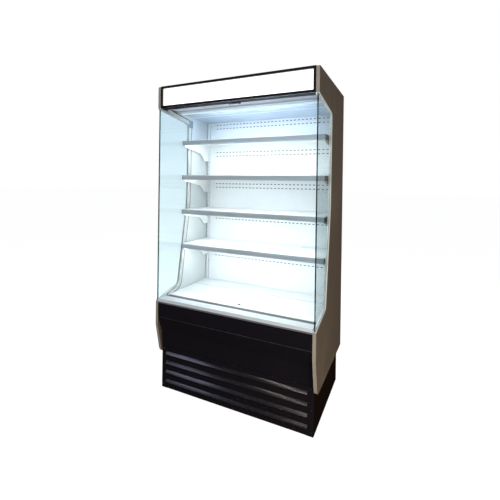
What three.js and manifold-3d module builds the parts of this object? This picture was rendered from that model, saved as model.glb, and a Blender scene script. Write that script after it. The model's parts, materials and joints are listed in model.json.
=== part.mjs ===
// Open multideck display fridge, self-contained, with four cantilever shelves and a pull-down night
// curtain. Millimetres, +Z up, the front faces -Y, origin on the floor at the middle of the plan.
import * as THREE from 'three';
import { mergeVertices } from 'three/addons/utils/BufferGeometryUtils.js';
import Module from 'manifold-3d';

const wasm = await Module();
wasm.setup();

// ---------------------------------------------------------------- driving dimensions
// Overall envelope
const overallWidth = 1105;
const overallDepth = 770;
const overallHeight = 2083;

// Fits and sheet metal
const seatGap = 0.3;              // between pieces that touch
const sheet = 2;                  // formed sheet steel
const turnGap = 1;                // between a turning piece and what it faces
const over = 1;                   // how far a cutting tool reaches past a face

// End panels
const endPanelThickness = 20;
const endPanelBottom = 244;       // height of the lower edge
const endPanelCheekBottom = 455;  // where the front cheek starts to taper back
const cheekTipDepth = 48;         // tip of the cheek, behind the front
const cheekTipRadius = 45;
const cheekRadius = 70;
const panelCornerRadius = 12;
const panelBackRadius = 3;

// Opening in each end panel, measured from the front and from the floor
const openingDepth = 360;         // back of the opening, at the top
const openingTopDrop = 52;        // fall of its upper edge, from front to back
const openingTopRadius = 34;
const waistDepth = 353;
const waistHeight = 1290;
const waistRadius = 700;
const hipDepth = 245;
const hipHeight = 665;
const hipRadius = 45;
const toeDepth = 35;
const toeHeight = 622;
const toeRadius = 60;
const openingLipHeight = 612;

// Side glass and its trim
const glassThickness = 6;
const glassFrontInset = 5;        // bare front edge, behind the front
const glassEntry = 4;             // glass starts this far from the panel's edge
const trimCap = 8;                // stands off the panel's edge
const trimLap = 26;               // laps over the panel's inner face
const trimFrontInset = 2;

// Insulated tub
const tubBackWall = 60;
const tubRoof = 70;
const tubFloor = 45;
const tubFrontWall = 40;
const tubBottom = 405;            // top of the machine compartment
const tubHeelSlope = 18;          // foot of the back wall, behind the base
const tubFrontDepth = 43;         // outer face of the tub's front wall, behind the front

// Header
const headerHeight = 147;
const headerFrameBorder = 15;
const headerFrameDepth = 12;
const headerBoxDepth = 57;
const signThickness = 3;
const signLap = 8;                // sign behind the frame's border
const headerCornerRadius = 2;
const headerBoxInset = 0.5;       // box behind the frame's outer edge
const headerLampInset = 52.2;     // lamp's end to the end of the box
const headerLampHeight = 26;
const headerLampDepth = 18;
const headerLampFoot = 6;
const headerLampLens = 10;        // height of the lens's flat face

// Night curtain
const curtainRollerCore = 12;     // radius of the bare tube
const curtainClothThickness = 0.3;
const curtainClothLength = 1400;  // cut length, most of it wound up
const curtainFreeCloth = 0.8;     // thickness that stands for the free cloth and its hem
const cassetteHeight = 54.7;
const cassetteDepth = 48;
const cassetteRadius = 10;
const cassetteSetback = 11;       // header box to cassette
const cassetteSideGap = 8.5;      // cassette's end to the end panel
const cassetteSlot = 10;
const curtainBarHeight = 19.5;
const curtainBarDepth = 14;
const curtainBarInset = 6;        // bar's end inside the cassette's end
const curtainClothInset = 14;
const curtainPark = 0.5;          // bar to cassette when it is up
const rollerPinRadius = 4;
const handleWidth = 74;
const handleDepth = 16.5;
const handleGrip = 6;
const handleLugDepth = 4;
const handleLugHeight = 14;
const handleRadius = 9;
const handleDrop = 0.5;           // loop below the header

// Air outlet and canopy
const honeycombDepth = 56.5;
const honeycombHeight = 24;
const honeycombDrop = 135;        // its underside below the top of the fridge
const honeycombCell = 34;
const honeycombPitch = 40;
const honeycombRim = 6;
const canopyFrontDrop = 144;      // underside of the front trim
const canopyBackDrop = 158;       // underside at the back
const canopyTrimDepth = 49;
const canopyLipHeight = 18;
const lampBayDepth = 42;
const lampBayHeight = 8;
const canopyLampInset = 5.5;      // lamp's end to the end panel
const canopyLampHeight = 12;
const canopyLampSide = 8;         // height of its upright sides, and width of its chamfers
const canopyLampRadius = 5;

// Interior
const ductDepth = 83;             // air duct between the liner and the slotted panel
const deckTop = 628;
const deckPanDepth = 19;
const deckFront = 126.3;          // front edge of the deck, behind the front
const deckSeam = 457;             // seam between the pans, behind the front
const interiorSideGap = 4.2;      // liner pieces to the end panels
const fingerHoleRadius = 11;
const fingerHoleInset = 48;
const deckSheet = 2.5;
const deckSeamGap = 1;
const deckBackGap = 2;            // rear pan to the uprights

// Uprights and duct panel
const uprightWidth = 25;
const uprightSheet = 2.5;
const uprightLip = 14;
const uprightProud = 4;           // stands in front of the duct panel
const uprightSideGap = 0.5;
const hookPitchPerShelf = 8;      // upright slots in one shelf pitch
const hookSlotWidth = 6;
const hookSlotHeight = 16;
const airSlotWidth = 14;
const airSlotHeight = 7;
const airSlotPitch = 36;
const airRowDrop = 62;            // first air row of a pair, under a shelf's top
const airRowStep = 30;            // second row of the pair
const airTopRowDrop = 19;         // highest air row, under the canopy
const airDeckRowRise = 232;       // upper row of the pair over the deck
const ductSideMargin = 10;
const ductTopLap = 5;             // panel behind the canopy's rear edge
const ductLedgeDepth = 16;        // ledge that carries the rear deck pan

// Shelves
const shelfCount = 4;
const firstShelfRise = 343;       // lowest shelf above the deck
const topShelfDrop = 341;         // highest shelf below the top of the fridge
const shelfFrontDepth = 260;      // face of the price rail, behind the front
const shelfSideGap = 5.5;
const shelfLip = 30;
const shelfReturn = 10;           // front lip's return
const shelfSideLip = 12;
const shelfBackGap = 7;           // deck to the uprights, so that the shelf can tilt
const priceRailHeight = 35;
const priceRailDepth = 6;
const priceRailDrop = 1;          // rail's top below the shelf's top
const priceRailEdge = 1.5;
const priceRailRecess = 2.2;      // label face behind the rail's edges
const priceRailBead = 3;
const bracketThickness = 3;
const bracketFlange = 16;
const bracketFrontHeight = 44;
const bracketMidHeight = 78;
const bracketHeel = 16.6;         // bracket below its lug
const bracketStep = 60;           // depth of the deep rear part
const bracketSlope = 64;          // run of the slope before it
const bracketSetback = 11;        // bracket's nose behind the deck's front
const bracketFlangeGap = 4;       // flange to the back of the deck
const shelfHookDrop = 16;         // upright slot centre under the shelf's top
const shelfLugSlots = 3;          // upright slots from the hook down to the lug
const hookNeckHeight = 10.5;
const hookNeckDrop = 0.5;         // neck above the slot's lower edge
const hookReach = 12.5;
const hookTipDepth = 10.5;
const hookTipThickness = 5.8;
const lugHeight = 10;
const lugReach = 10;
const shelfLampInset = 32;        // lamp's end inside the shelf's end
const shelfLampSetback = 12;
const shelfLampDepth = 24;
const shelfLampHeight = 14;
const shelfLampSide = 5;
const shelfLampChamfer = 4;

// Sill and grille
const sillTop = 636;
const sillLipHeight = 33;
const sillDepth = 82;
const sillFall = 7.5;
const sillLedgeDrop = 20;
const sillLedgeDepth = 15;
const sillSheet = 2.5;
const sillRadius = 6;
const grilleSheet = 2.5;
const grilleDrop = 1;             // grille's top below the deck
const grilleTop = 4;
const grilleSlotLength = 28;
const grilleSlotWidth = 13;
const grilleSlotPitch = 24;
const grilleLedge = 16;

// Front panels
const bumperCrease = 508;         // height of the crease
const bumperBottomDepth = 40;
const lowerPanelBottom = 288;
const panelFlange = 12;
const frontSheet = 3;
const lowerPanelSetback = 2;      // lower panel's top edge behind the bumper's bottom edge

// Base and louvers
const baseFrontDepth = 54;        // louver panel's face, behind the front
const baseBackInset = 50;
const baseWall = 3;
const basePan = 28;               // top of the pan above the floor
const baseRailWidth = 45;
const baseRecess = 22;
const baseRailSlope = 6;
const louverCount = 4;
const louverPitch = 64;
const louverFirst = 44;           // lower edge of the lowest louver
const louverHeight = 20;
const louverDepth = 12;
const louverLip = 3;              // upright edge below a louver's slope
const louverSideInset = 35.2;
const louverPanelBottom = 3;
const louverPanelTop = 285;

// Machine compartment
const condenserSideInset = 72.5;  // coil to the right end panel
const condenserSetback = 40;      // coil behind the louver panel
const condenserCoilWidth = 400;
const condenserCoilDepth = 60;
const condenserCoilHeight = 340;
const condenserFinPitch = 40;
const condenserFanRadius = 120;
const compressorRadius = 88;
const compressorHeight = 215;
const compressorSideInset = 272.5;
const compressorRearInset = 295;
const compressorLift = 12;        // shell above the base pan
const drainPanSize = new THREE.Vector3(360, 200, 45);
const drainPanRearGap = 75;
const rearGrilleSlots = 18;
const rearGrilleMargin = 40;      // above and below the slots
const rearGrilleInset = 6;

// Evaporator
const evaporatorSideInset = 42.5; // leaves room for the return bends
const evaporatorFanGap = 6;       // coil behind the fan motors
const evaporatorDepth = 96;
const evaporatorHeight = 130;
const evaporatorFinPitch = 80;
const evaporatorFanRadius = 60;
const evaporatorFanSpread = 260;

// Fans
const fanPlateFlange = 20;
const fanTipGap = 5;
const fanRingThickness = 3;
const fanBladeCount = 5;
const fanBladeThickness = 2.5;
const fanBladePitch = THREE.MathUtils.degToRad(24);
const fanHubShare = 0.3;          // hub radius in fan radii
const fanTipChord = 0.6;          // blade width in fan radii
const motorDepth = 34;
const strutWidth = 8;
const strutThickness = 4;

// Smoothness of round forms
const arcSteps = 3;
const roundSteps = 20;
const smallRoundSteps = 12;

// ---------------------------------------------------------------- derived places
const front = -overallDepth / 2;
const back = overallDepth / 2;
const half = overallWidth / 2;
const innerHalf = half - endPanelThickness;
const spanHalf = innerHalf - seatGap;             // reach of what fits between the end panels
const linerHalf = innerHalf - interiorSideGap;    // reach of the pieces inside the tub
const headerBottom = overallHeight - headerHeight;
const tubInnerBack = back - tubBackWall;
const tubInnerTop = overallHeight - tubRoof;
const tubFloorTop = tubBottom + tubFloor;
const tubFrontOuter = front + tubFrontDepth;
const bumperBottom = tubBottom - seatGap - frontSheet;
const tubFrontInner = tubFrontOuter + tubFrontWall;
const ductFront = tubInnerBack - ductDepth - sheet;
const uprightFront = ductFront - uprightProud;
const headerBoxFront = front + headerFrameDepth + seatGap;
const headerBoxBack = headerBoxFront + headerBoxDepth;
const cassetteFront = headerBoxBack + cassetteSetback;
const cassetteBack = cassetteFront + cassetteDepth;
const cassetteTop = tubInnerTop - seatGap;
const cassetteBottom = cassetteTop - cassetteHeight;
const cassetteHalf = innerHalf - cassetteSideGap;
const curtainBarHalf = cassetteHalf - curtainBarInset;
const curtainClothHalf = cassetteHalf - curtainClothInset;
const woundRadius = Math.sqrt(
  curtainRollerCore ** 2 + (curtainClothLength * curtainClothThickness) / Math.PI,
);
const curtainPlane = cassetteFront + cassetteSlot / 2 + sheet;
const rollerY = curtainPlane + curtainFreeCloth / 2 + seatGap + woundRadius;
const rollerZ = (cassetteTop + cassetteBottom) / 2;
const curtainBarTop = cassetteBottom - curtainPark;
const curtainBarBottom = curtainBarTop - curtainBarHeight;
const honeycombFront = cassetteBack + seatGap;
const honeycombBottom = overallHeight - honeycombDrop;
const canopyFront = honeycombFront + honeycombDepth + seatGap;
const canopyFrontZ = overallHeight - canopyFrontDrop;
const canopyBackZ = overallHeight - canopyBackDrop;
const canopyLampHalf = innerHalf - canopyLampInset;
const sillRear = front + sillDepth;
const deckFrontY = front + deckFront;
const deckSeamY = front + deckSeam;
const panUnderside = deckTop - deckPanDepth;
const shelfFrontY = front + shelfFrontDepth;
const shelfDeckFront = shelfFrontY + priceRailDepth;
const shelfBackY = uprightFront - shelfBackGap;
const shelfHalf = innerHalf - shelfSideGap;
const shelfPitch = (overallHeight - topShelfDrop - deckTop - firstShelfRise) / (shelfCount - 1);
const hookPitch = shelfPitch / hookPitchPerShelf;
const uprightMid = innerHalf - uprightSideGap - uprightWidth / 2;
const baseFront = front + baseFrontDepth;
const baseBack = back - baseBackInset;
const baseTop = tubBottom - seatGap;
const louverHalf = spanHalf - louverSideInset;
const condenserCoilRight = innerHalf - condenserSideInset;
const condenserCoilLeft = condenserCoilRight - condenserCoilWidth;
const evaporatorHalf = innerHalf - evaporatorSideInset;
const shelfTops = Array.from({ length: shelfCount }, (_, i) =>
  deckTop + firstShelfRise + (shelfCount - 1 - i) * shelfPitch);

// ---------------------------------------------------------------- geometry helpers
const X = new THREE.Vector3(1, 0, 0);
const Y = new THREE.Vector3(0, 1, 0);
const Z = new THREE.Vector3(0, 0, 1);

/** A closed three.js geometry as a solid that can be joined and cut. */
function toSolid(geometry) {
  geometry.deleteAttribute('normal');
  geometry.deleteAttribute('uv');
  const merged = mergeVertices(geometry, 1e-4);
  const corners = merged.index.array;
  const triangles = [];
  for (let i = 0; i < corners.length; i += 3) {
    const [a, b, c] = [corners[i], corners[i + 1], corners[i + 2]];
    if (a !== b && b !== c && c !== a) triangles.push(a, b, c);
  }
  return new wasm.Manifold(new wasm.Mesh({
    numProp: 3,
    vertProperties: Float32Array.from(merged.attributes.position.array),
    triVerts: Uint32Array.from(triangles),
  }));
}

/** A solid as a geometry for a mesh. */
function toGeometry(solid) {
  const mesh = solid.getMesh();
  const geometry = new THREE.BufferGeometry();
  geometry.setAttribute('position', new THREE.BufferAttribute(mesh.vertProperties, 3));
  geometry.setIndex(new THREE.BufferAttribute(mesh.triVerts, 1));
  geometry.computeVertexNormals();
  return geometry;
}

/** A path through corners [a, b, radius]; a corner without a radius stays sharp. */
function cornerPath(path, corners, closed) {
  const points = corners.map(([a, b]) => new THREE.Vector2(a, b));
  corners.forEach(([, , radius = 0], i) => {
    const here = points[i];
    const draw = i === 0 ? 'moveTo' : 'lineTo';
    const isEnd = !closed && (i === 0 || i === corners.length - 1);
    if (!radius || isEnd) {
      path[draw](here.x, here.y);
      return;
    }
    const before = points[(i + points.length - 1) % points.length].clone().sub(here);
    const after = points[(i + 1) % points.length].clone().sub(here);
    const halfAngle = Math.acos(before.dot(after) / (before.length() * after.length())) / 2;
    const wanted = radius / Math.tan(halfAngle);
    const reach = Math.min(wanted, before.length() * 0.45, after.length() * 0.45);
    const start = before.setLength(reach).add(here);
    const end = after.setLength(reach).add(here);
    path[draw](start.x, start.y);
    path.quadraticCurveTo(here.x, here.y, end.x, end.y);
  });
  if (closed) path.closePath();
  return path;
}

/** A closed outline with rounded corners. */
function outline(corners) {
  return cornerPath(new THREE.Shape(), corners, true);
}

/** A rectangle from its limits, with an optional corner radius. */
function rectangle(a0, a1, b0, b1, radius = 0) {
  return outline([[a0, b0, radius], [a1, b0, radius], [a1, b1, radius], [a0, b1, radius]]);
}

/** Extrudes a (y, z) outline along x, an (x, z) outline along y or an (x, y) outline along z. */
function extrude(axis, shape, from, to) {
  const geometry = new THREE.ExtrudeGeometry(shape, {
    depth: to - from,
    bevelEnabled: false,
    curveSegments: arcSteps,
  });
  const turn = new THREE.Matrix4();
  if (axis === 'x') turn.makeBasis(Y, Z, X).setPosition(from, 0, 0);
  if (axis === 'y') turn.makeBasis(X, Z, Y.clone().negate()).setPosition(0, to, 0);
  if (axis === 'z') turn.setPosition(0, 0, from);
  return toSolid(geometry.applyMatrix4(turn));
}

/** A box from its limits on the three axes. */
function block([x0, x1], [y0, y1], [z0, z1]) {
  const geometry = new THREE.BoxGeometry(x1 - x0, y1 - y0, z1 - z0);
  return toSolid(geometry.translate((x0 + x1) / 2, (y0 + y1) / 2, (z0 + z1) / 2));
}

/** A round bar along an axis, centred on a point. */
function roundBar(axis, radius, length, centre, steps = roundSteps) {
  const geometry = new THREE.CylinderGeometry(radius, radius, length, steps);
  if (axis === 'x') geometry.rotateZ(Math.PI / 2);
  if (axis === 'z') geometry.rotateX(Math.PI / 2);
  return toSolid(geometry.translate(...centre));
}

/** A solid of revolution about z from (radius, z) points that start and end on the axis. */
function revolve(points, steps = roundSteps) {
  const profile = points.map(([r, z]) => new THREE.Vector2(r, z));
  return toSolid(new THREE.LatheGeometry(profile, steps).rotateX(Math.PI / 2));
}

/** Moves a run of points sideways; a positive distance goes to the left of the run. */
function offsetRun(points, distance) {
  return points.map((point, i) => {
    const into = points[Math.max(i, 1)].clone().sub(points[Math.max(i, 1) - 1]).normalize();
    const last = points.length - 1;
    const out = points[Math.min(i, last - 1) + 1].clone().sub(points[Math.min(i, last - 1)]).normalize();
    const along = into.add(out).normalize();
    const stretch = distance / along.dot(out);
    return new THREE.Vector2(point.x - along.y * stretch, point.y + along.x * stretch);
  });
}

/** A sheet bent along (y, z) points: the run is one face and the sheet lies to its left. */
function bentSheet(points, thickness, x0, x1) {
  const run = points.map(([y, z]) => new THREE.Vector2(y, z));
  const shape = new THREE.Shape([...run, ...offsetRun(run, thickness).reverse()]);
  return extrude('x', shape, x0, x1);
}

/** Boxes in a row along x, about the middle of the part. */
function slotRow(count, pitch, width, yLimits, zLimits) {
  return Array.from({ length: count }, (_, i) => {
    const x = (i - (count - 1) / 2) * pitch;
    return block([x - width / 2, x + width / 2], yLimits, zLimits);
  });
}

/** Joins solids into one. */
function join(...pieces) {
  return wasm.Manifold.union(pieces);
}

/** Cuts tools from a solid. */
function cut(solid, ...tools) {
  return wasm.Manifold.difference([solid, ...tools]);
}

// ---------------------------------------------------------------- finishes
/** Finish of a sub-part. */
function finish(color, roughness, metalness, more = {}) {
  return () => new THREE.MeshStandardMaterial({ color, roughness, metalness, ...more });
}

const panelPaint = finish('#57493c', 0.45, 0);
const blackPaint = finish('#101012', 0.25, 0);
const basePaint = finish('#1c1916', 0.5, 0);
const whitePaint = finish('#eef3f4', 0.4, 0);
const greyPlastic = finish('#b9bdbe', 0.45, 0);
const darkGrille = finish('#3b4143', 0.5, 0);
const sideGlass = finish('#9fc4c6', 0.05, 0, { transparent: true, opacity: 0.25 });
const signWhite = finish('#ffffff', 0.4, 0, { emissive: '#ffffff', emissiveIntensity: 1 });
const lampLight = finish('#f2fdff', 0.3, 0, { emissive: '#eafcff', emissiveIntensity: 1 });
const railBlue = finish('#7d8fa0', 0.4, 0);
const galvanised = finish('#b4b9bb', 0.4, 0.9);
const aluminium = finish('#c9ccce', 0.35, 0.9);
const darkPlastic = finish('#22262a', 0.5, 0);
const clothGrey = finish('#c7cdd0', 0.8, 0);
const finAluminium = finish('#c4c9cb', 0.4, 0.9);
const compressorBlack = finish('#151515', 0.4, 0.2);

// ---------------------------------------------------------------- shared fan forms
/** Depth of a fan wheel: its pitched blades and a margin. */
function wheelDepth(radius) {
  return radius * fanTipChord * Math.sin(fanBladePitch) + 2 * fanBladeThickness + 2;
}

/** Depth of the ring round a fan wheel. */
function ringDepth(radius) {
  return wheelDepth(radius) + turnGap + 3;
}

/** Fan wheel about z, its hub's flat back at z = 0 and its blades in front. */
function fanWheel(radius) {
  const hub = radius * fanHubShare;
  const hubDepth = wheelDepth(radius);
  const wheel = [revolve([
    [0, 0],
    [hub, 0],
    [hub, hubDepth - 4],
    [hub - 4, hubDepth],
    [0, hubDepth],
  ], smallRoundSteps)];
  const rootHalf = hub * 0.42;
  const tipHalf = (radius * fanTipChord) / 2;
  const tip = radius * 0.97;
  for (let i = 0; i < fanBladeCount; i += 1) {
    const blade = new THREE.ExtrudeGeometry(outline([
      [hub - 5, -rootHalf],
      [radius * 0.75, -tipHalf, radius * 0.2],
      [tip, -tipHalf * 0.5],
      [tip, tipHalf * 0.5, radius * 0.15],
      [hub - 5, rootHalf],
    ]), { depth: fanBladeThickness, bevelEnabled: false, curveSegments: 2 });
    blade.translate(0, 0, -fanBladeThickness / 2).rotateX(fanBladePitch);
    blade.translate(0, 0, hubDepth / 2).rotateZ((i * 2 * Math.PI) / fanBladeCount);
    wheel.push(toSolid(blade));
  }
  return join(...wheel);
}

/** Ring, struts and motor that carry a fan wheel on the back of a plate, about the y axis. */
function fanMount(radius, plateFront, x, z) {
  const bore = radius + fanTipGap;
  const rim = bore + fanRingThickness;
  const depth = ringDepth(radius);
  const ringBack = plateFront + depth;
  const motorRadius = radius * fanHubShare;
  const struts = [0, 1, 2].map((i) => {
    const strut = new THREE.BoxGeometry(rim, strutThickness, strutWidth);
    strut.translate(rim / 2, 0, 0).rotateY((i * 2 * Math.PI) / 3 + Math.PI / 2);
    return toSolid(strut.translate(x, ringBack + strutThickness / 2 - 1, z));
  });
  const ring = roundBar('y', rim, depth, [x, plateFront + depth / 2, z]);
  const motor = roundBar('y', motorRadius, motorDepth, [x, ringBack + motorDepth / 2, z], smallRoundSteps);
  const hollow = roundBar('y', bore, depth + 1, [x, ringBack - (depth + 1) / 2, z]);
  return { solid: join(ring, ...struts, motor), hollow, motorFront: ringBack };
}

/** Finned coil: plate fins across x on a tube core, end plates and return bends on one end. */
function finnedCoil([x0, x1], [y0, y1], [z0, z1], finPitch) {
  const fins = Math.floor((x1 - x0) / finPitch);
  const fin = finPitch * 0.3;
  const core = (y1 - y0) * 0.3;
  const step = (x1 - x0 - fin) / fins;
  const side = (near, root, order) => order.flatMap((i) => {
    const left = x0 + i * step;
    return [[left, root], [left, near], [left + fin, near], [left + fin, root]];
  });
  const order = Array.from({ length: fins + 1 }, (_, i) => i);
  const lower = side(y0, y0 + core, order);
  const upper = side(y1, y1 - core, order).reverse();
  const body = extrude('z', outline([...lower, ...upper]), z0, z1);
  const middle = (y0 + y1) / 2;
  const bendRadius = (z1 - z0) / 14;
  const pipe = bendRadius * 0.3;
  const bends = [0.25, 0.5, 0.75].map((share) => {
    const z = z0 + (z1 - z0) * share;
    const arc = new THREE.Shape();
    arc.absarc(x1 - 2, z, bendRadius + pipe, -Math.PI / 2, Math.PI / 2);
    arc.absarc(x1 - 2, z, bendRadius - pipe, Math.PI / 2, -Math.PI / 2, true);
    return extrude('y', arc, middle - pipe, middle + pipe);
  });
  return join(body, ...bends);
}

// ---------------------------------------------------------------- end panels, glass and trim
/** Edge of the side opening as (y, z) points, from the header down to the sill. */
function openingEdge() {
  const path = cornerPath(new THREE.Path(), [
    [front, headerBottom],
    [front + openingDepth, headerBottom - openingTopDrop, openingTopRadius],
    [front + waistDepth, waistHeight, waistRadius],
    [front + hipDepth, hipHeight, hipRadius],
    [front + toeDepth, toeHeight, toeRadius],
    [front, openingLipHeight],
  ], false);
  return path.getPoints(arcSteps);
}

function endPanel(side) {
  const shape = new THREE.Shape([
    ...outline([
      [front, headerBottom],
      [front, overallHeight, panelCornerRadius],
      [back, overallHeight, panelBackRadius],
      [back, endPanelBottom, panelBackRadius],
      [front + cheekTipDepth, endPanelBottom, cheekTipRadius],
      [front, endPanelCheekBottom, cheekRadius],
      [front, openingLipHeight],
    ]).getPoints(arcSteps).slice(0, -1),
    ...openingEdge().reverse().slice(1, -1),
  ]);
  const [x0, x1] = [side * innerHalf, side * half].sort((a, b) => a - b);
  return extrude('x', shape, x0, x1);
}

/** Everything on the opening's side of a line that runs this far from the panel's edge. */
function openingFill(distance, x0, x1, frontLimit) {
  const run = offsetRun(openingEdge(), -distance);
  const beyond = front - trimLap;
  const first = run[0];
  const last = run[run.length - 1];
  const shape = new THREE.Shape([
    new THREE.Vector2(beyond, first.y),
    ...run,
    new THREE.Vector2(beyond, last.y),
  ]);
  const limits = block([x0 - over, x1 + over], [frontLimit, back], [0, overallHeight]);
  return extrude('x', shape, x0, x1).intersect(limits);
}

function sideGlassPane(side, grow = 0) {
  const middle = side * (innerHalf + endPanelThickness / 2);
  const reach = glassThickness / 2 + grow;
  const inset = grow ? front : front + glassFrontInset;
  return openingFill(glassEntry - grow, middle - reach, middle + reach, inset);
}

function glassTrim(side) {
  const inner = innerHalf - seatGap - sheet;
  const spans = ([a, b]) => [side * a, side * b].sort((p, q) => p - q);
  const frontLimit = front + trimFrontInset;
  const bandOf = (from, to, [x0, x1]) => cut(
    openingFill(from, x0, x1, frontLimit),
    openingFill(to, x0 - over, x1 + over, frontLimit - over),
  );
  const cap = bandOf(seatGap, trimCap, spans([inner, half]));
  const lap = bandOf(-trimLap, trimCap, spans([inner, inner + sheet]));
  const notch = spans([inner - over, innerHalf]);
  const headerNotch = block(notch, [front, headerBoxBack + over], [headerBottom - seatGap, overallHeight]);
  const sillNotch = block(notch, [front, sillRear + sillLedgeDepth + over], [0, sillTop + seatGap]);
  return cut(join(cap, lap), sideGlassPane(side, seatGap), headerNotch, sillNotch);
}

// ---------------------------------------------------------------- tub, header and canopy
function insulatedTub() {
  const ledge = sillTop - sillLedgeDrop - sillSheet - seatGap;
  return extrude('x', outline([
    [tubFrontOuter, tubBottom],
    [baseBack + sheet, tubBottom],
    [baseBack + tubHeelSlope, endPanelBottom],
    [back - seatGap, endPanelBottom],
    [back - seatGap, overallHeight],
    [headerBoxBack + seatGap, overallHeight],
    [headerBoxBack + seatGap, tubInnerTop],
    [tubInnerBack, tubInnerTop, 12],
    [tubInnerBack, tubFloorTop],
    [tubFrontInner, tubFloorTop, 20],
    [tubFrontInner, ledge],
    [tubFrontOuter, ledge],
  ]), -spanHalf, spanHalf);
}

function headerFrame() {
  const ring = rectangle(-spanHalf, spanHalf, headerBottom, overallHeight, headerCornerRadius);
  ring.holes.push(rectangle(
    -spanHalf + headerFrameBorder,
    spanHalf - headerFrameBorder,
    headerBottom + headerFrameBorder,
    overallHeight - headerFrameBorder,
    headerCornerRadius,
  ));
  return extrude('y', ring, front, front + headerFrameDepth);
}

function headerSign() {
  const lap = headerFrameBorder - signLap;
  const y0 = headerBoxFront + seatGap;
  return block(
    [-spanHalf + lap, spanHalf - lap],
    [y0, y0 + signThickness],
    [headerBottom + lap, overallHeight - lap],
  );
}

function headerBox() {
  const tray = block(
    [-spanHalf, spanHalf],
    [headerBoxFront, headerBoxBack],
    [headerBottom + headerBoxInset, overallHeight - headerBoxInset],
  );
  const hollow = block(
    [-spanHalf + sheet, spanHalf - sheet],
    [headerBoxFront - over, headerBoxBack - sheet],
    [headerBottom + headerBoxInset + sheet, overallHeight - headerBoxInset - sheet],
  );
  return cut(tray, hollow);
}

function headerLamp() {
  const rear = headerBoxBack - sheet - seatGap;
  const middle = headerBottom + headerHeight / 2;
  const low = middle - headerLampHeight / 2;
  const high = middle + headerLampHeight / 2;
  const lens = headerLampLens / 2;
  const reach = spanHalf - headerLampInset;
  return extrude('x', outline([
    [rear, low],
    [rear, high],
    [rear - headerLampFoot, high],
    [rear - headerLampDepth, middle + lens, lens],
    [rear - headerLampDepth, middle - lens, lens],
    [rear - headerLampFoot, low],
  ]), -reach, reach);
}

function canopyProfile() {
  const lampFront = canopyFront + canopyTrimDepth;
  const lampBack = lampFront + lampBayDepth;
  const bayTop = canopyFrontZ + lampBayHeight;
  return [
    [canopyFront, canopyFrontZ + canopyLipHeight],
    [canopyFront, canopyFrontZ],
    [lampFront, canopyFrontZ],
    [lampFront, bayTop],
    [lampBack, bayTop],
    [lampBack, canopyFrontZ - sheet],
    [ductFront - seatGap, canopyBackZ],
  ];
}

function canopyLamp() {
  const y0 = canopyFront + canopyTrimDepth + sheet + seatGap;
  const y1 = canopyFront + canopyTrimDepth + lampBayDepth - seatGap;
  const top = canopyFrontZ + lampBayHeight - seatGap;
  return extrude('x', outline([
    [y0, top],
    [y0, top - canopyLampSide],
    [y0 + canopyLampSide, top - canopyLampHeight, canopyLampRadius],
    [y1 - canopyLampSide, top - canopyLampHeight, canopyLampRadius],
    [y1, top - canopyLampSide],
    [y1, top],
  ]), -canopyLampHalf, canopyLampHalf);
}

function airHoneycomb() {
  const rear = honeycombFront + honeycombDepth;
  const top = honeycombBottom + honeycombHeight;
  const count = Math.floor((2 * linerHalf - honeycombRim) / honeycombPitch);
  return cut(
    block([-linerHalf, linerHalf], [honeycombFront, rear], [honeycombBottom, top]),
    ...slotRow(count, honeycombPitch, honeycombCell,
      [honeycombFront + honeycombRim, rear - honeycombRim], [honeycombBottom - over, top + over]),
  );
}

// ---------------------------------------------------------------- night curtain
function curtainCassette() {
  const slotFront = curtainPlane - cassetteSlot / 2 + sheet;
  const shape = outline([
    [slotFront, cassetteBottom],
    [cassetteFront, cassetteBottom],
    [cassetteFront, cassetteTop, cassetteRadius],
    [cassetteBack, cassetteTop, cassetteRadius],
    [cassetteBack, cassetteBottom],
    [slotFront + cassetteSlot, cassetteBottom],
    [slotFront + cassetteSlot, cassetteBottom + sheet],
    [cassetteBack - sheet, cassetteBottom + sheet],
    [cassetteBack - sheet, cassetteTop - sheet, cassetteRadius - sheet],
    [cassetteFront + sheet, cassetteTop - sheet, cassetteRadius - sheet],
    [cassetteFront + sheet, cassetteBottom + sheet],
    [slotFront, cassetteBottom + sheet],
  ]);
  const caps = [-1, 1].map((side) => {
    const [x0, x1] = [side * (cassetteHalf - sheet), side * cassetteHalf].sort((a, b) => a - b);
    const plate = block(
      [x0, x1],
      [cassetteFront + sheet / 2, cassetteBack - sheet / 2],
      [cassetteBottom + sheet / 2, cassetteTop - cassetteRadius / 2],
    );
    const centre = [(x0 + x1) / 2, rollerY, rollerZ];
    const bore = roundBar('x', rollerPinRadius + turnGap, sheet + 2 * over, centre, smallRoundSteps);
    return cut(plate, bore);
  });
  return join(extrude('x', shape, -cassetteHalf, cassetteHalf), ...caps);
}

/** Roller tube with the wound cloth and its two end pins, along x. */
function curtainRoller() {
  const reach = cassetteHalf - sheet - turnGap;
  const axis = [0, rollerY, rollerZ];
  const pins = roundBar('x', rollerPinRadius, 2 * cassetteHalf, axis, smallRoundSteps);
  const tube = roundBar('x', curtainRollerCore, 2 * reach, axis);
  const wound = roundBar('x', woundRadius, 2 * curtainClothHalf, axis);
  return join(tube, wound, pins);
}

function curtainFabric() {
  return block(
    [-curtainClothHalf, curtainClothHalf],
    [curtainPlane - curtainFreeCloth / 2, curtainPlane + curtainFreeCloth / 2],
    [curtainBarTop + seatGap, rollerZ],
  );
}

function curtainBar() {
  const y0 = curtainPlane - curtainBarDepth / 2;
  const y1 = curtainPlane + curtainBarDepth / 2;
  return extrude('x', outline([
    [y0, curtainBarBottom, 4],
    [y0, curtainBarTop, 3],
    [y1, curtainBarTop, 3],
    [y1, curtainBarBottom, 4],
  ]), -curtainBarHalf, curtainBarHalf);
}

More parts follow.
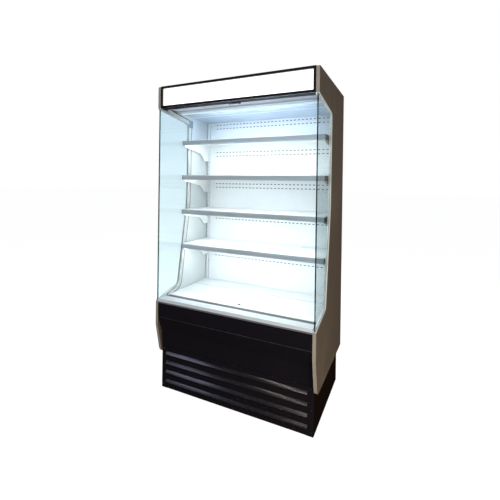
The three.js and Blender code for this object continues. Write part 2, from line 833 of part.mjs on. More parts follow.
/** Pull handle: a loop in front of and below the bar, on two lugs. */
function curtainHandle() {
  const rear = curtainPlane - curtainBarDepth / 2 - seatGap;
  const nose = rear - handleDepth;
  const wide = handleWidth / 2;
  const loopTop = headerBottom - handleDrop;
  const loopBottom = loopTop - handleGrip;
  const loop = outline([
    [-wide, rear],
    [-wide, nose, handleRadius],
    [wide, nose, handleRadius],
    [wide, rear],
    [wide - handleGrip, rear],
    [wide - handleGrip, nose + handleGrip, handleRadius / 2],
    [-wide + handleGrip, nose + handleGrip, handleRadius / 2],
    [-wide + handleGrip, rear],
  ]);
  const lugs = [-1, 1].map((side) => {
    const [x0, x1] = [side * (wide - handleGrip), side * wide].sort((a, b) => a - b);
    return block([x0, x1], [rear - handleLugDepth, rear], [loopBottom, loopTop + handleLugHeight]);
  });
  return join(extrude('z', loop, loopBottom, loopTop), ...lugs);
}

// ---------------------------------------------------------------- interior
/** Upright: C channel with bracket slots in its front wall. */
function upright(side) {
  const outer = innerHalf - uprightSideGap;
  const inner = outer - uprightWidth;
  const wall = uprightSheet;
  const section = outline([
    [inner, uprightFront],
    [outer, uprightFront],
    [outer, tubInnerBack - seatGap],
    [inner, tubInnerBack - seatGap],
    [inner, tubInnerBack - seatGap - wall],
    [outer - wall, tubInnerBack - seatGap - wall],
    [outer - wall, uprightFront + wall],
    [inner + wall, uprightFront + wall],
    [inner + wall, uprightFront + uprightLip],
    [inner, uprightFront + uprightLip],
  ].map(([x, y]) => [side * x, y]));
  const top = canopyBackZ - seatGap;
  const topHookZ = shelfTops[0] - shelfHookDrop;
  const lowestZ = shelfTops[shelfCount - 1] - shelfHookDrop - (shelfLugSlots + 1) * hookPitch;
  const slots = [];
  for (let z = topHookZ + hookPitch; z > lowestZ; z -= hookPitch) {
    const x = side * uprightMid;
    slots.push(block(
      [x - hookSlotWidth / 2, x + hookSlotWidth / 2],
      [uprightFront - over, uprightFront + wall + over],
      [z - hookSlotHeight / 2, z + hookSlotHeight / 2],
    ));
  }
  return cut(extrude('z', section, tubFloorTop + seatGap, top), ...slots);
}

/** Slotted air panel between the uprights, with a ledge that carries the rear deck pan. */
function rearDuctPanel() {
  const reach = innerHalf - uprightSideGap - uprightWidth - seatGap;
  const ledgeTop = panUnderside - seatGap;
  const bottom = ledgeTop - deckSheet;
  const columns = Math.floor((2 * reach - 2 * ductSideMargin) / airSlotPitch);
  const upperRows = [
    canopyBackZ - airTopRowDrop,
    ...shelfTops.map((top) => top - airRowDrop),
    deckTop + airDeckRowRise,
  ];
  const slots = upperRows.flatMap((z) => [z, z - airRowStep]).flatMap((z) =>
    slotRow(columns, airSlotPitch, airSlotWidth,
      [ductFront - over, ductFront + sheet + over], [z - airSlotHeight / 2, z + airSlotHeight / 2]));
  const panel = block([-reach, reach], [ductFront, ductFront + sheet], [bottom, canopyBackZ + ductTopLap]);
  const ledge = block([-reach, reach], [ductFront - ductLedgeDepth, ductFront + sheet], [bottom, ledgeTop]);
  return cut(join(panel, ledge), ...slots);
}

/** Deck pan: a flat sheet with a lip down at each long edge. */
function deckPan(y0, y1) {
  const t = deckSheet;
  return extrude('x', outline([
    [y0, panUnderside],
    [y0, deckTop, 3],
    [y1, deckTop, 3],
    [y1, panUnderside],
    [y1 - t, panUnderside],
    [y1 - t, deckTop - t],
    [y0 + t, deckTop - t],
    [y0 + t, panUnderside],
  ]), -linerHalf, linerHalf);
}

function frontDeckPan() {
  const hole = [0, deckFrontY + fingerHoleInset, deckTop];
  return cut(
    deckPan(deckFrontY, deckSeamY - deckSeamGap / 2),
    roundBar('z', fingerHoleRadius, 2 * (deckSheet + over), hole),
  );
}

function rearDeckPan() {
  return deckPan(deckSeamY + deckSeamGap / 2, uprightFront - deckBackGap);
}

function returnAirGrille() {
  const y0 = sillRear + seatGap;
  const y1 = deckFrontY - seatGap;
  const under = sillTop - sillLedgeDrop + seatGap;
  const ledgeTop = panUnderside - seatGap;
  const top = deckTop - grilleDrop;
  const t = grilleSheet;
  const body = extrude('x', outline([
    [y0, under],
    [y0, top],
    [y1, top],
    [y1, ledgeTop],
    [y1 + grilleLedge, ledgeTop],
    [y1 + grilleLedge, ledgeTop - t],
    [y1 - t, ledgeTop - t],
    [y1 - t, top - grilleTop],
    [y0 + t, top - grilleTop],
    [y0 + t, under],
  ]), -linerHalf, linerHalf);
  const count = Math.floor((2 * linerHalf - grilleSlotPitch / 2) / grilleSlotPitch);
  const middle = (y0 + y1) / 2;
  return cut(body, ...slotRow(count, grilleSlotPitch, grilleSlotWidth,
    [middle - grilleSlotLength / 2, middle + grilleSlotLength / 2], [top - grilleTop - over, top + over]));
}

/** Sill: rounded lip, sloping top and a ledge inside that carries the grille. */
function sill() {
  const t = sillSheet;
  const rearTop = sillTop - sillFall;
  const ledge = sillTop - sillLedgeDrop;
  return extrude('x', outline([
    [front, sillTop - sillLipHeight],
    [front, sillTop, sillRadius],
    [sillRear, rearTop, 2],
    [sillRear, ledge],
    [sillRear + sillLedgeDepth, ledge],
    [sillRear + sillLedgeDepth, ledge - t],
    [sillRear - t, ledge - t],
    [sillRear - t, rearTop - t],
    [front + t, sillTop - t, sillRadius - over],
    [front + t, sillTop - sillLipHeight],
  ]), -spanHalf, spanHalf);
}

// ---------------------------------------------------------------- shelves (z = 0 is the shelf's top)
function shelfDeck() {
  const t = sheet;
  const pan = extrude('x', outline([
    [shelfDeckFront, -shelfLip],
    [shelfDeckFront, 0, 2],
    [shelfBackY, 0, 2],
    [shelfBackY, -shelfSideLip],
    [shelfBackY - t, -shelfSideLip],
    [shelfBackY - t, -t],
    [shelfDeckFront + t, -t],
    [shelfDeckFront + t, -shelfLip + t],
    [shelfDeckFront + shelfReturn, -shelfLip + t],
    [shelfDeckFront + shelfReturn, -shelfLip],
  ]), -shelfHalf, shelfHalf);
  const lips = [-1, 1].map((side) => {
    const [x0, x1] = [side * (shelfHalf - t), side * shelfHalf].sort((a, b) => a - b);
    return block([x0, x1], [shelfDeckFront + t, shelfBackY - t], [-shelfSideLip, -t / 2]);
  });
  return join(pan, ...lips);
}

/** Cantilever bracket: deep at the upright, with a hook and a lug that enter its slots. */
function shelfBracket(side) {
  const top = -sheet - seatGap;
  const neckBottom = -shelfHookDrop - hookSlotHeight / 2 + hookNeckDrop;
  const neckTop = neckBottom + hookNeckHeight;
  const hookEnd = uprightFront + hookReach;
  const face = uprightFront - seatGap;
  const lugMid = -shelfHookDrop - shelfLugSlots * hookPitch;
  const heel = lugMid - lugHeight / 2 - bracketHeel;
  const frontY = shelfDeckFront + bracketSetback;
  const stepY = face - bracketStep;
  const plate = outline([
    [frontY, top],
    [shelfBackY - sheet - seatGap, top],
    [shelfBackY - sheet - seatGap, neckTop],
    [hookEnd, neckTop, 3],
    [hookEnd, neckBottom - hookTipDepth, 2],
    [hookEnd - hookTipThickness, neckBottom - hookTipDepth],
    [hookEnd - hookTipThickness, neckBottom],
    [face, neckBottom],
    [face, lugMid + lugHeight / 2],
    [face + lugReach, lugMid + lugHeight / 2],
    [face + lugReach, lugMid - lugHeight / 2],
    [face, lugMid - lugHeight / 2],
    [face, heel],
    [stepY, heel, 24],
    [stepY - bracketSlope, -bracketMidHeight, 30],
    [frontY, -bracketFrontHeight, 6],
  ]);
  const x = side * uprightMid;
  const web = extrude('x', plate, x - bracketThickness / 2, x + bracketThickness / 2);
  const [x0, x1] = [x, x - side * bracketFlange].sort((a, b) => a - b);
  const flangeY = [frontY, shelfBackY - bracketFlangeGap];
  const flange = block([x0, x1], flangeY, [top - bracketThickness, top]);
  return join(web, flange);
}

/** Price rail: face with a hook over the deck's lip, a scanner channel and a return below. */
function priceRail() {
  const rear = shelfDeckFront - seatGap;
  const face = shelfFrontY;
  const label = face + priceRailRecess;
  const high = -priceRailDrop;
  const low = -priceRailHeight;
  return extrude('x', outline([
    [rear, high],
    [face + priceRailEdge, high, priceRailEdge],
    [face, high - priceRailBead],
    [label, high - 2 * priceRailBead],
    [label, low + 2 * priceRailBead],
    [face, low + priceRailBead],
    [face + priceRailEdge, low, priceRailEdge],
    [rear, low],
  ]), -shelfHalf, shelfHalf);
}

function shelfLamp() {
  const y0 = shelfDeckFront + shelfLampSetback;
  const y1 = y0 + shelfLampDepth;
  const top = -sheet - seatGap;
  return extrude('x', outline([
    [y0, top],
    [y0, top - shelfLampSide],
    [y0 + shelfLampChamfer, top - shelfLampHeight, shelfLampSide],
    [y1 - shelfLampChamfer, top - shelfLampHeight, shelfLampSide],
    [y1, top - shelfLampSide],
    [y1, top],
  ]), -shelfHalf + shelfLampInset, shelfHalf - shelfLampInset);
}

// ---------------------------------------------------------------- front and base
function frontBumperPanel() {
  const top = sillTop - sillLipHeight - seatGap;
  const bottomY = front + bumperBottomDepth;
  return bentSheet([
    [bottomY + panelFlange, bumperBottom],
    [bottomY, bumperBottom],
    [front, bumperCrease],
    [front, top],
    [front + panelFlange, top],
  ], -frontSheet, -spanHalf, spanHalf);
}

function lowerFrontPanel() {
  const top = bumperBottom - seatGap;
  const topY = front + bumperBottomDepth + lowerPanelSetback;
  return bentSheet([
    [baseFront - sheet / 2 - seatGap, lowerPanelBottom],
    [topY, top],
    [topY + panelFlange, top],
  ], -frontSheet, -spanHalf, spanHalf);
}

/** Louver panel: a sheet with pressed louvers that slope out and open downwards. */
function louverPanel() {
  const face = baseFront;
  const panel = rectangle(-spanHalf, spanHalf, louverPanelBottom, louverPanelTop, 3);
  const hoods = [];
  const openings = [];
  for (let i = 0; i < louverCount; i += 1) {
    const z0 = louverFirst + i * louverPitch;
    const z1 = z0 + louverHeight;
    openings.push(block(
      [-louverHalf + sheet, louverHalf - sheet],
      [face - over, face + sheet + over],
      [z0, z1 - sheet * 2],
    ));
    const hood = (depth, top, bottom, rear) => outline([
      [rear, bottom],
      [rear, top],
      [face, top],
      [face - depth, bottom + louverLip, louverLip],
      [face - depth, bottom],
    ]);
    const shell = extrude('x', hood(louverDepth, z1, z0, face + sheet / 2), -louverHalf, louverHalf);
    const hollow = hood(louverDepth - sheet, z1 - sheet * 2, z0 - over, face + sheet);
    hoods.push(cut(shell, extrude('x', hollow, -louverHalf + sheet, louverHalf - sheet)));
  }
  return cut(join(extrude('y', panel, face, face + sheet), ...hoods), ...openings);
}

/** Base frame: side walls and pan on two rails, open to the front and the back. */
function baseFrame() {
  return extrude('y', outline([
    [-spanHalf, 0, 3],
    [-spanHalf, baseTop],
    [-spanHalf + baseWall, baseTop],
    [-spanHalf + baseWall, basePan],
    [spanHalf - baseWall, basePan],
    [spanHalf - baseWall, baseTop],
    [spanHalf, baseTop],
    [spanHalf, 0, 3],
    [spanHalf - baseRailWidth, 0],
    [spanHalf - baseRailWidth - baseRailSlope, baseRecess],
    [-spanHalf + baseRailWidth + baseRailSlope, baseRecess],
    [-spanHalf + baseRailWidth, 0],
  ]), baseFront + sheet + seatGap, baseBack);
}

function rearGrille() {
  const reach = spanHalf - baseWall - seatGap;
  const face = baseBack - rearGrilleInset;
  const pitch = (2 * reach - rearGrilleMargin) / rearGrilleSlots;
  return cut(
    block([-reach, reach], [face, face + sheet], [basePan + seatGap, baseTop - seatGap]),
    ...slotRow(rearGrilleSlots, pitch, pitch * 0.6, [face - over, face + sheet + over],
      [basePan + rearGrilleMargin, endPanelBottom - rearGrilleMargin]),
  );
}

// ---------------------------------------------------------------- refrigeration
const condenserFanX = (condenserCoilLeft + condenserCoilRight) / 2;
const condenserFanZ = basePan + condenserCoilHeight / 2;
const condenserCoilFront = baseFront + condenserSetback;
const shroudFront = condenserCoilFront + condenserCoilDepth + seatGap;
const condenserMount = fanMount(condenserFanRadius, shroudFront, condenserFanX, condenserFanZ);

function condenserCoil() {
  return finnedCoil(
    [condenserCoilLeft, condenserCoilRight],
    [condenserCoilFront, condenserCoilFront + condenserCoilDepth],
    [basePan + seatGap, basePan + condenserCoilHeight],
    condenserFinPitch,
  );
}

function condenserFanShroud() {
  const plate = block(
    [condenserCoilLeft, condenserCoilRight],
    [shroudFront, shroudFront + sheet],
    [basePan + seatGap, basePan + condenserCoilHeight],
  );
  return cut(join(plate, condenserMount.solid), condenserMount.hollow);
}

function compressor() {
  const r = compressorRadius;
  const h = compressorHeight;
  const shell = revolve([
    [0, compressorLift],
    [r * 0.7, compressorLift],
    [r * 0.95, h * 0.12],
    [r * 0.97, h * 0.45],
    [r, h * 0.46],
    [r, h * 0.52],
    [r * 0.97, h * 0.53],
    [r * 0.93, h * 0.82],
    [r * 0.72, h * 0.95],
    [r * 0.3, h],
    [0, h],
  ]);
  const x = -innerHalf + compressorSideInset;
  const y = baseBack - compressorRearInset;
  const footTop = basePan + compressorLift + sheet;
  const foot = block([x - r * 1.15, x + r * 1.15], [y - r, y + r], [basePan + seatGap, footTop]);
  const terminal = block([x + r * 0.8, x + r * 1.25], [y - r / 3, y + r / 3],
    [basePan + h / 3, basePan + h * 0.6]);
  return join(shell.translate([x, y, basePan]), foot, terminal);
}

function condensatePan() {
  const [w, d, h] = drainPanSize.toArray();
  const x = condenserCoilRight - w / 2;
  const y = baseBack - drainPanRearGap - d / 2;
  const z0 = basePan + seatGap;
  return cut(
    block([x - w / 2, x + w / 2], [y - d / 2, y + d / 2], [z0, z0 + h]),
    block([x - w / 2 + sheet, x + w / 2 - sheet], [y - d / 2 + sheet, y + d / 2 - sheet],
      [z0 + sheet, z0 + h + over]),
  );
}

const fanPlateY = deckSeamY - sheet / 2;
const evaporatorFanZ = (tubFloorTop + panUnderside) / 2;

function evaporatorFanPlate() {
  const top = panUnderside - seatGap;
  const plate = block(
    [-linerHalf, linerHalf],
    [fanPlateY, fanPlateY + sheet],
    [tubFloorTop + seatGap, top],
  );
  const flangeY = [fanPlateY - fanPlateFlange, fanPlateY + sheet + fanPlateFlange];
  const flange = block([-linerHalf, linerHalf], flangeY, [top - sheet, top]);
  const mounts = [-1, 1].map((side) =>
    fanMount(evaporatorFanRadius, fanPlateY, side * evaporatorFanSpread, evaporatorFanZ));
  const solid = join(plate, flange, ...mounts.map((mount) => mount.solid));
  return cut(solid, ...mounts.map((mount) => mount.hollow));
}

function evaporatorCoil() {
  const y0 = fanPlateY + ringDepth(evaporatorFanRadius) + motorDepth + evaporatorFanGap;
  return finnedCoil(
    [-evaporatorHalf, evaporatorHalf],
    [y0, y0 + evaporatorDepth],
    [tubFloorTop + seatGap, tubFloorTop + evaporatorHeight],
    evaporatorFinPitch,
  );
}

// ---------------------------------------------------------------- assembly
const fridge = new THREE.Group();
const names = [];

/** Adds a named sub-part to a group. */
function add(name, geometry, makeFinish, group = fridge) {
  const mesh = new THREE.Mesh(geometry, makeFinish());
  mesh.name = name;
  names.push(name);
  group.add(mesh);
  return mesh;
}

add('insulated_tub', toGeometry(insulatedTub()), panelPaint);
for (const [hand, side] of [['left', -1], ['right', 1]]) {
  add(`${hand}_end_panel`, toGeometry(endPanel(side)), panelPaint);
  add(`${hand}_side_glass`, toGeometry(sideGlassPane(side)), sideGlass);
  add(`${hand}_glass_trim`, toGeometry(glassTrim(side)), greyPlastic);
  add(`${hand}_upright`, toGeometry(upright(side)), whitePaint);
}

add('header_frame', toGeometry(headerFrame()), blackPaint);
add('header_sign', toGeometry(headerSign()), signWhite);
add('header_box', toGeometry(headerBox()), basePaint);
add('header_lamp', toGeometry(headerLamp()), lampLight);
add('canopy_panel', toGeometry(bentSheet(canopyProfile(), sheet, -spanHalf, spanHalf)), whitePaint);
add('canopy_lamp', toGeometry(canopyLamp()), lampLight);
add('air_honeycomb', toGeometry(airHoneycomb()), whitePaint);

add('curtain_cassette', toGeometry(curtainCassette()), aluminium);
add('curtain_roller', toGeometry(curtainRoller()), clothGrey);
add('curtain_fabric', toGeometry(curtainFabric()), clothGrey);
add('curtain_bar', toGeometry(curtainBar()), aluminium);
add('curtain_handle', toGeometry(curtainHandle()), darkPlastic);

add('rear_duct_panel', toGeometry(rearDuctPanel()), whitePaint);
add('front_deck_pan', toGeometry(frontDeckPan()), whitePaint);
add('rear_deck_pan', toGeometry(rearDeckPan()), whitePaint);
add('return_air_grille', toGeometry(returnAirGrille()), darkGrille);
add('sill', toGeometry(sill()), greyPlastic);

const shelfGeometry = {
  deck: toGeometry(shelfDeck()),
  left_bracket: toGeometry(shelfBracket(-1)),
  right_bracket: toGeometry(shelfBracket(1)),
  price_rail: toGeometry(priceRail()),
  lamp: toGeometry(shelfLamp()),
};
const shelfFinish = {
  deck: whitePaint,
  left_bracket: whitePaint,
  right_bracket: whitePaint,
  price_rail: railBlue,
  lamp: lampLight,
};
shelfTops.forEach((top, i) => {
  const shelf = new THREE.Group();
  shelf.position.z = top;
  for (const [piece, geometry] of Object.entries(shelfGeometry)) {
    add(`shelf_${i + 1}_${piece}`, geometry, shelfFinish[piece], shelf);
  }
  fridge.add(shelf);
});

add('front_bumper_panel', toGeometry(frontBumperPanel()), blackPaint);
add('lower_front_panel', toGeometry(lowerFrontPanel()), blackPaint);
add('louver_panel', toGeometry(louverPanel()), blackPaint);
add('base_frame', toGeometry(baseFrame()), basePaint);
add('rear_grille', toGeometry(rearGrille()), basePaint);

add('condenser_coil', toGeometry(condenserCoil()), finAluminium);
add('condenser_fan_shroud', toGeometry(condenserFanShroud()), galvanised);
add('compressor', toGeometry(compressor()), compressorBlack);
add('condensate_pan', toGeometry(condensatePan()), darkPlastic);
add('evaporator_coil', toGeometry(evaporatorCoil()), finAluminium);
add('evaporator_fan_plate', toGeometry(evaporatorFanPlate()), galvanised);

/** Adds a fan wheel that faces forwards, its hub just in front of its motor. */
function addFan(name, wheel, x, motorFront, z) {
  const fan = add(name, wheel, darkPlastic);
  fan.rotation.x = Math.PI / 2;
  fan.position.set(x, motorFront - turnGap, z);
}

const evaporatorWheel = toGeometry(fanWheel(evaporatorFanRadius));
const evaporatorMotorFront = fanPlateY + ringDepth(evaporatorFanRadius);
addFan('condenser_fan', toGeometry(fanWheel(condenserFanRadius)),
  condenserFanX, condenserMount.motorFront, condenserFanZ);
addFan('left_evaporator_fan', evaporatorWheel,
  -evaporatorFanSpread, evaporatorMotorFront, evaporatorFanZ);
addFan('right_evaporator_fan', evaporatorWheel,
  evaporatorFanSpread, evaporatorMotorFront, evaporatorFanZ);

export default fridge;
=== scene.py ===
"""Open multideck display fridge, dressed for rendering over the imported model's fixed frame.

Metres, +Z up. The open front faces -Y, and the origin is on the floor at the middle of the plan.
"""

import json
import logging
import math
from collections.abc import Callable, Iterable, Sequence
from dataclasses import dataclass
from enum import Enum

import bmesh
import bpy
from bmesh.types import BMesh, BMFace, BMVert
from bpy.types import Node, NodeSocket, NodeTree, Object
from mathutils import Matrix, Vector

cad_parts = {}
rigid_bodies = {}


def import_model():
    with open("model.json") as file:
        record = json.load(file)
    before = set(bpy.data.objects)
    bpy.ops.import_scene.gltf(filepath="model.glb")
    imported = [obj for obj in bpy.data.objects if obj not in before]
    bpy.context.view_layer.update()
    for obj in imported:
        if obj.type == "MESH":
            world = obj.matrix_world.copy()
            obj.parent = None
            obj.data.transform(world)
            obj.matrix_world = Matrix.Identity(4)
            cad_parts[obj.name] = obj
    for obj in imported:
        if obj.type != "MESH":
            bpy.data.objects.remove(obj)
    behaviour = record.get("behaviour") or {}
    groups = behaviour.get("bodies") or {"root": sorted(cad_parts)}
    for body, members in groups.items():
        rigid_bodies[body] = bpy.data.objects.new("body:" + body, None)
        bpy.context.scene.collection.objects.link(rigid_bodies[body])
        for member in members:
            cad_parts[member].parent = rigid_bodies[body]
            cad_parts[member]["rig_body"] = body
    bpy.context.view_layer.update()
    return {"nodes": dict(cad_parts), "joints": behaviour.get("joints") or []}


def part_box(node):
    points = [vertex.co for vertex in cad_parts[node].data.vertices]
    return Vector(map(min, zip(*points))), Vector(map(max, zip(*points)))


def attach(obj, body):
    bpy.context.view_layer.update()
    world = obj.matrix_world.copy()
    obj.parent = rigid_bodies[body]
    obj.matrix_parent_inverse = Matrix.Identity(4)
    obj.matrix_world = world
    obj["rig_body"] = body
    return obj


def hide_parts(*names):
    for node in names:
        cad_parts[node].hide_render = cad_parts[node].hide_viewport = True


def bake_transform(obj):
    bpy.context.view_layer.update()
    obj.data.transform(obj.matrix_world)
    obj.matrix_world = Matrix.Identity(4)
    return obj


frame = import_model()

LOG = logging.getLogger("display_fridge")
MM = 0.001
CABINET = "cabinet"
SHELVES = 4
FULL_TURN = 2 * math.pi
WELD = 0.01 * MM  # vertices nearer than this are one
FLAT = math.radians(0.4)  # faces that meet at less than this are one
SQUARE_ON = 0.9  # a face points along an axis when its normal has more than this of it
LEANING = 0.5  # and it leans towards the axis from here on

Colour = tuple[float, float, float]
Point = tuple[float, float, float]
Pair = tuple[float, float]

RIGHT: Point = (1.0, 0.0, 0.0)
REAR: Point = (0.0, 1.0, 0.0)
FRONT: Point = (0.0, -1.0, 0.0)
UP: Point = (0.0, 0.0, 1.0)
DOWN: Point = (0.0, 0.0, -1.0)


class Hand(Enum):
    """Side of the case, as seen by a shopper in front of it."""

    LEFT = -1
    RIGHT = 1

    @property
    def word(self) -> str:
        """The side's name in node names."""
        return self.name.lower()


class Effect(Enum):
    """Surface effects that more than one finish uses."""

    PEEL = "orange_peel"
    FILM = "handling_film"
    BRUSH = "brushed_lines"
    SCUFF = "floor_scuffs"
    WEAVE = "plain_weave"


# ---------------------------------------------------------------- shader wiring
class Wiring:
    """Adds and joins the nodes of one shader tree."""

    def __init__(self, tree: NodeTree) -> None:
        """Keeps the tree that is being wired."""
        self.tree = tree

    def fill(self, node: Node, values: dict[str | int, object]) -> Node:
        """Gives a node its inputs.

        Args:
            node: The node.
            values: Its inputs by name or number, each a constant or a socket to join.

        Returns:
            The same node.
        """
        for key, value in values.items():
            if isinstance(value, NodeSocket):
                self.tree.links.new(value, node.inputs[key])
            else:
                node.inputs[key].default_value = value
        return node

    def add(
        self, kind: str, values: dict[str | int, object] | None = None, **settings: object
    ) -> Node:
        """Adds a node.

        Args:
            kind: The node's Blender type.
            values: Its inputs, as in fill.
            **settings: Its properties.

        Returns:
            The new node.
        """
        node = self.tree.nodes.new(kind)
        for key, value in settings.items():
            setattr(node, key, value)
        return self.fill(node, values or {})

    def calc(self, operation: str, first: object, second: object = 0.0) -> NodeSocket:
        """Returns the result of a Math node on two numbers or sockets."""
        return self.add("ShaderNodeMath", {0: first, 1: second}, operation=operation).outputs[0]

    def times(self, first: object, second: object) -> NodeSocket:
        """Returns the product of two numbers or sockets."""
        return self.calc("MULTIPLY", first, second)

    def plus(self, first: object, second: object) -> NodeSocket:
        """Returns the sum of two numbers or sockets."""
        return self.calc("ADD", first, second)

    def between(self, value: object, low: object, high: object) -> NodeSocket:
        """Returns 0 below low, 1 above high and a smooth rise between them."""
        values = {"Value": value, "From Min": low, "From Max": high}
        return self.add("ShaderNodeMapRange", values, interpolation_type="SMOOTHSTEP").outputs[0]

    def blend(self, share: object, first: object, second: object) -> NodeSocket:
        """Returns the first colour where share is 0 and the second where it is 1."""
        ends = [end if isinstance(end, NodeSocket) else (*end, 1.0) for end in (first, second)]
        values = {0: share, 6: ends[0], 7: ends[1]}
        return self.add("ShaderNodeMix", values, data_type="RGBA").outputs[2]

    def noise(self, place: object, scale: object, detail: float = 2.0) -> NodeSocket:
        """Returns a noise value from 0 to 1 at a place."""
        values = {"Vector": place, "Scale": scale, "Detail": detail}
        return self.add("ShaderNodeTexNoise", values).outputs[0]

    def place(self, source: str = "Object") -> NodeSocket:
        """Returns the coordinates that a finish reads, Object or UV."""
        return self.add("ShaderNodeTexCoord").outputs[source]

    def axes(self, place: NodeSocket) -> Sequence[NodeSocket]:
        """Returns the x, y and z of a vector."""
        return self.add("ShaderNodeSeparateXYZ", {0: place}).outputs

    def effect(self, effect: Effect, **values: object) -> Sequence[NodeSocket]:
        """Places a shared effect with its own values, and returns its outputs."""
        node = self.tree.nodes.new("ShaderNodeGroup")
        node.node_tree = EffectGroups.get(effect)
        return self.fill(node, values).outputs

    def seen_directly(self) -> tuple[NodeSocket, NodeSocket]:
        """Tells the rays that look straight at the room from those that a surface mirrored.

        Returns:
            1 where the eye looks straight at it or through glass, and 1 where it is mirrored.
        """
        ray = self.add("ShaderNodeLightPath").outputs
        mirrored = self.calc("MINIMUM", ray["Glossy Depth"], 1.0)
        unmirrored = self.calc("SUBTRACT", 1.0, mirrored)
        through = self.times(ray["Is Transmission Ray"], unmirrored)
        seen = self.calc("MAXIMUM", ray["Is Camera Ray"], through)
        after_glass = self.times(ray["Is Transmission Ray"], mirrored)
        return seen, self.calc("MAXIMUM", ray["Is Glossy Ray"], after_glass)

    def bump(self, height: NodeSocket, strength: float, depth: float) -> NodeSocket:
        """Returns the normal of a surface with that relief, its depth in metres."""
        values = {"Strength": strength, "Distance": depth, "Height": height}
        return self.add("ShaderNodeBump", values).outputs[0]


class EffectGroups:
    """Builds each shared effect once, as a shader node group."""

    @classmethod
    def get(cls, effect: Effect) -> NodeTree:
        """Returns an effect's node group, and builds it the first time."""
        made = bpy.data.node_groups.get(effect.value)
        if made is None:
            made = bpy.data.node_groups.new(effect.value, "ShaderNodeTree")
            getattr(cls, f"_{effect.value}")(made)
        return made

    @staticmethod
    def _sockets(
        tree: NodeTree, inputs: dict[str, float], outputs: Sequence[str]
    ) -> tuple[Wiring, Sequence[NodeSocket], Node]:
        """Gives a group its named inputs and outputs.

        Args:
            tree: The group.
            inputs: Its numbers with their usual values; Place is added first.
            outputs: Its values that change over the surface.

        Returns:
            The wiring, the given values and the output node.
        """
        tree.interface.new_socket("Place", in_out="INPUT", socket_type="NodeSocketVector")
        for name, value in inputs.items():
            made = tree.interface.new_socket(name, in_out="INPUT", socket_type="NodeSocketFloat")
            made.default_value = value
        for name in outputs:
            tree.interface.new_socket(name, in_out="OUTPUT", socket_type="NodeSocketFloat")
        wiring = Wiring(tree)
        return wiring, wiring.add("NodeGroupInput").outputs, wiring.add("NodeGroupOutput")

    @classmethod
    def _orange_peel(cls, tree: NodeTree) -> None:
        """Fine ripple of sprayed paint or moulded grain."""
        wiring, given, result = cls._sockets(tree, {"Size": 0.003}, ["Height"])
        scale = wiring.calc("DIVIDE", 1.0, given["Size"])
        wiring.fill(result, {"Height": wiring.noise(given["Place"], scale, 1.5)})

    @classmethod
    def _handling_film(cls, tree: NodeTree) -> None:
        """Faint cloudy patches that wiping and hands leave."""
        wiring, given, result = cls._sockets(tree, {"Size": 0.3, "Cover": 0.5}, ["Mask"])
        place = given["Place"]
        broad = wiring.noise(place, wiring.calc("DIVIDE", 1.0, given["Size"]), 3.0)
        stretched = wiring.add("ShaderNodeMapping", {"Vector": place, "Scale": (14.0, 14.0, 4.0)})
        streaks = wiring.noise(stretched.outputs[0], 1.0, 4.0)
        both = wiring.plus(broad, wiring.times(streaks, 0.35))
        low = wiring.calc("SUBTRACT", 1.15, given["Cover"])
        wiring.fill(result, {"Mask": wiring.between(both, low, wiring.plus(low, 0.3))})

    @classmethod
    def _brushed_lines(cls, tree: NodeTree) -> None:
        """Fine lines along x, as drawn or brushed metal has."""
        wiring, given, result = cls._sockets(tree, {"Width": 0.0006}, ["Height", "Mask"])
        x, y, z = wiring.axes(given["Place"])
        drawn = wiring.add("ShaderNodeCombineXYZ", {0: wiring.times(x, 0.02), 1: y, 2: z})
        scale = wiring.calc("DIVIDE", 1.0, given["Width"])
        lines = wiring.noise(drawn.outputs[0], scale)
        wiring.fill(result, {"Height": lines, "Mask": wiring.between(lines, 0.35, 0.7)})

    @classmethod
    def _floor_scuffs(cls, tree: NodeTree) -> None:
        """Dust and scuffs that fade out with height above the floor."""
        wiring, given, result = cls._sockets(tree, {"Reach": 0.3}, ["Mask"])
        place = given["Place"]
        above = wiring.between(wiring.axes(place)[2], 0.0, given["Reach"])
        flat = wiring.add("ShaderNodeMapping", {"Vector": place, "Scale": (30.0, 30.0, 90.0)})
        marks = wiring.between(wiring.noise(flat.outputs[0], 1.0, 5.0), 0.5, 0.72)
        both = wiring.plus(marks, wiring.times(wiring.noise(place, 900.0, 1.0), 0.4))
        near_floor = wiring.calc("SUBTRACT", 1.0, above)
        wiring.fill(result, {"Mask": wiring.times(near_floor, both)})

    @classmethod
    def _plain_weave(cls, tree: NodeTree) -> None:
        """Over and under threads of a plain cloth, in the piece's own UV metres."""
        wiring, given, result = cls._sockets(tree, {"Pitch": 0.0012}, ["Height", "Mask"])
        turn = wiring.calc("DIVIDE", FULL_TURN / 2, given["Pitch"])
        u, v, _ = wiring.axes(given["Place"])
        warp, weft = (wiring.calc("SINE", wiring.times(way, turn)) for way in (u, v))
        height = wiring.times(warp, weft)
        wiring.fill(result, {"Height": height, "Mask": wiring.between(height, -0.4, 0.4)})


# ---------------------------------------------------------------- finishes
def dimmed(colour: Colour, share: float) -> Colour:
    """Returns a share of a colour's light."""
    return tuple(part * share for part in colour)


@dataclass(frozen=True)
class Finish:
    """A surface finish with its slot in the record, its colour and its gloss."""

    name: str
    slot: str
    colour: Colour
    roughness: float

    def material(self) -> bpy.types.Material:
        """Returns the finish's material, and builds it the first time."""
        made = bpy.data.materials.get(self.name)
        if made is None:
            made = bpy.data.materials.new(self.name)
            made.use_nodes = True
            made.node_tree.nodes.clear()
            wiring = Wiring(made.node_tree)
            values = {"Base Color": (*self.colour, 1.0), "Roughness": self.roughness}
            shader = wiring.add("ShaderNodeBsdfPrincipled", values)
            wiring.add("ShaderNodeOutputMaterial", {"Surface": shader.outputs[0]})
            wiring.fill(shader, self.looks(wiring))
        return made

    def looks(self, wiring: Wiring) -> dict[str, object]:
        """Returns the shader inputs that set this kind of finish apart; the plain one has none."""
        return {}


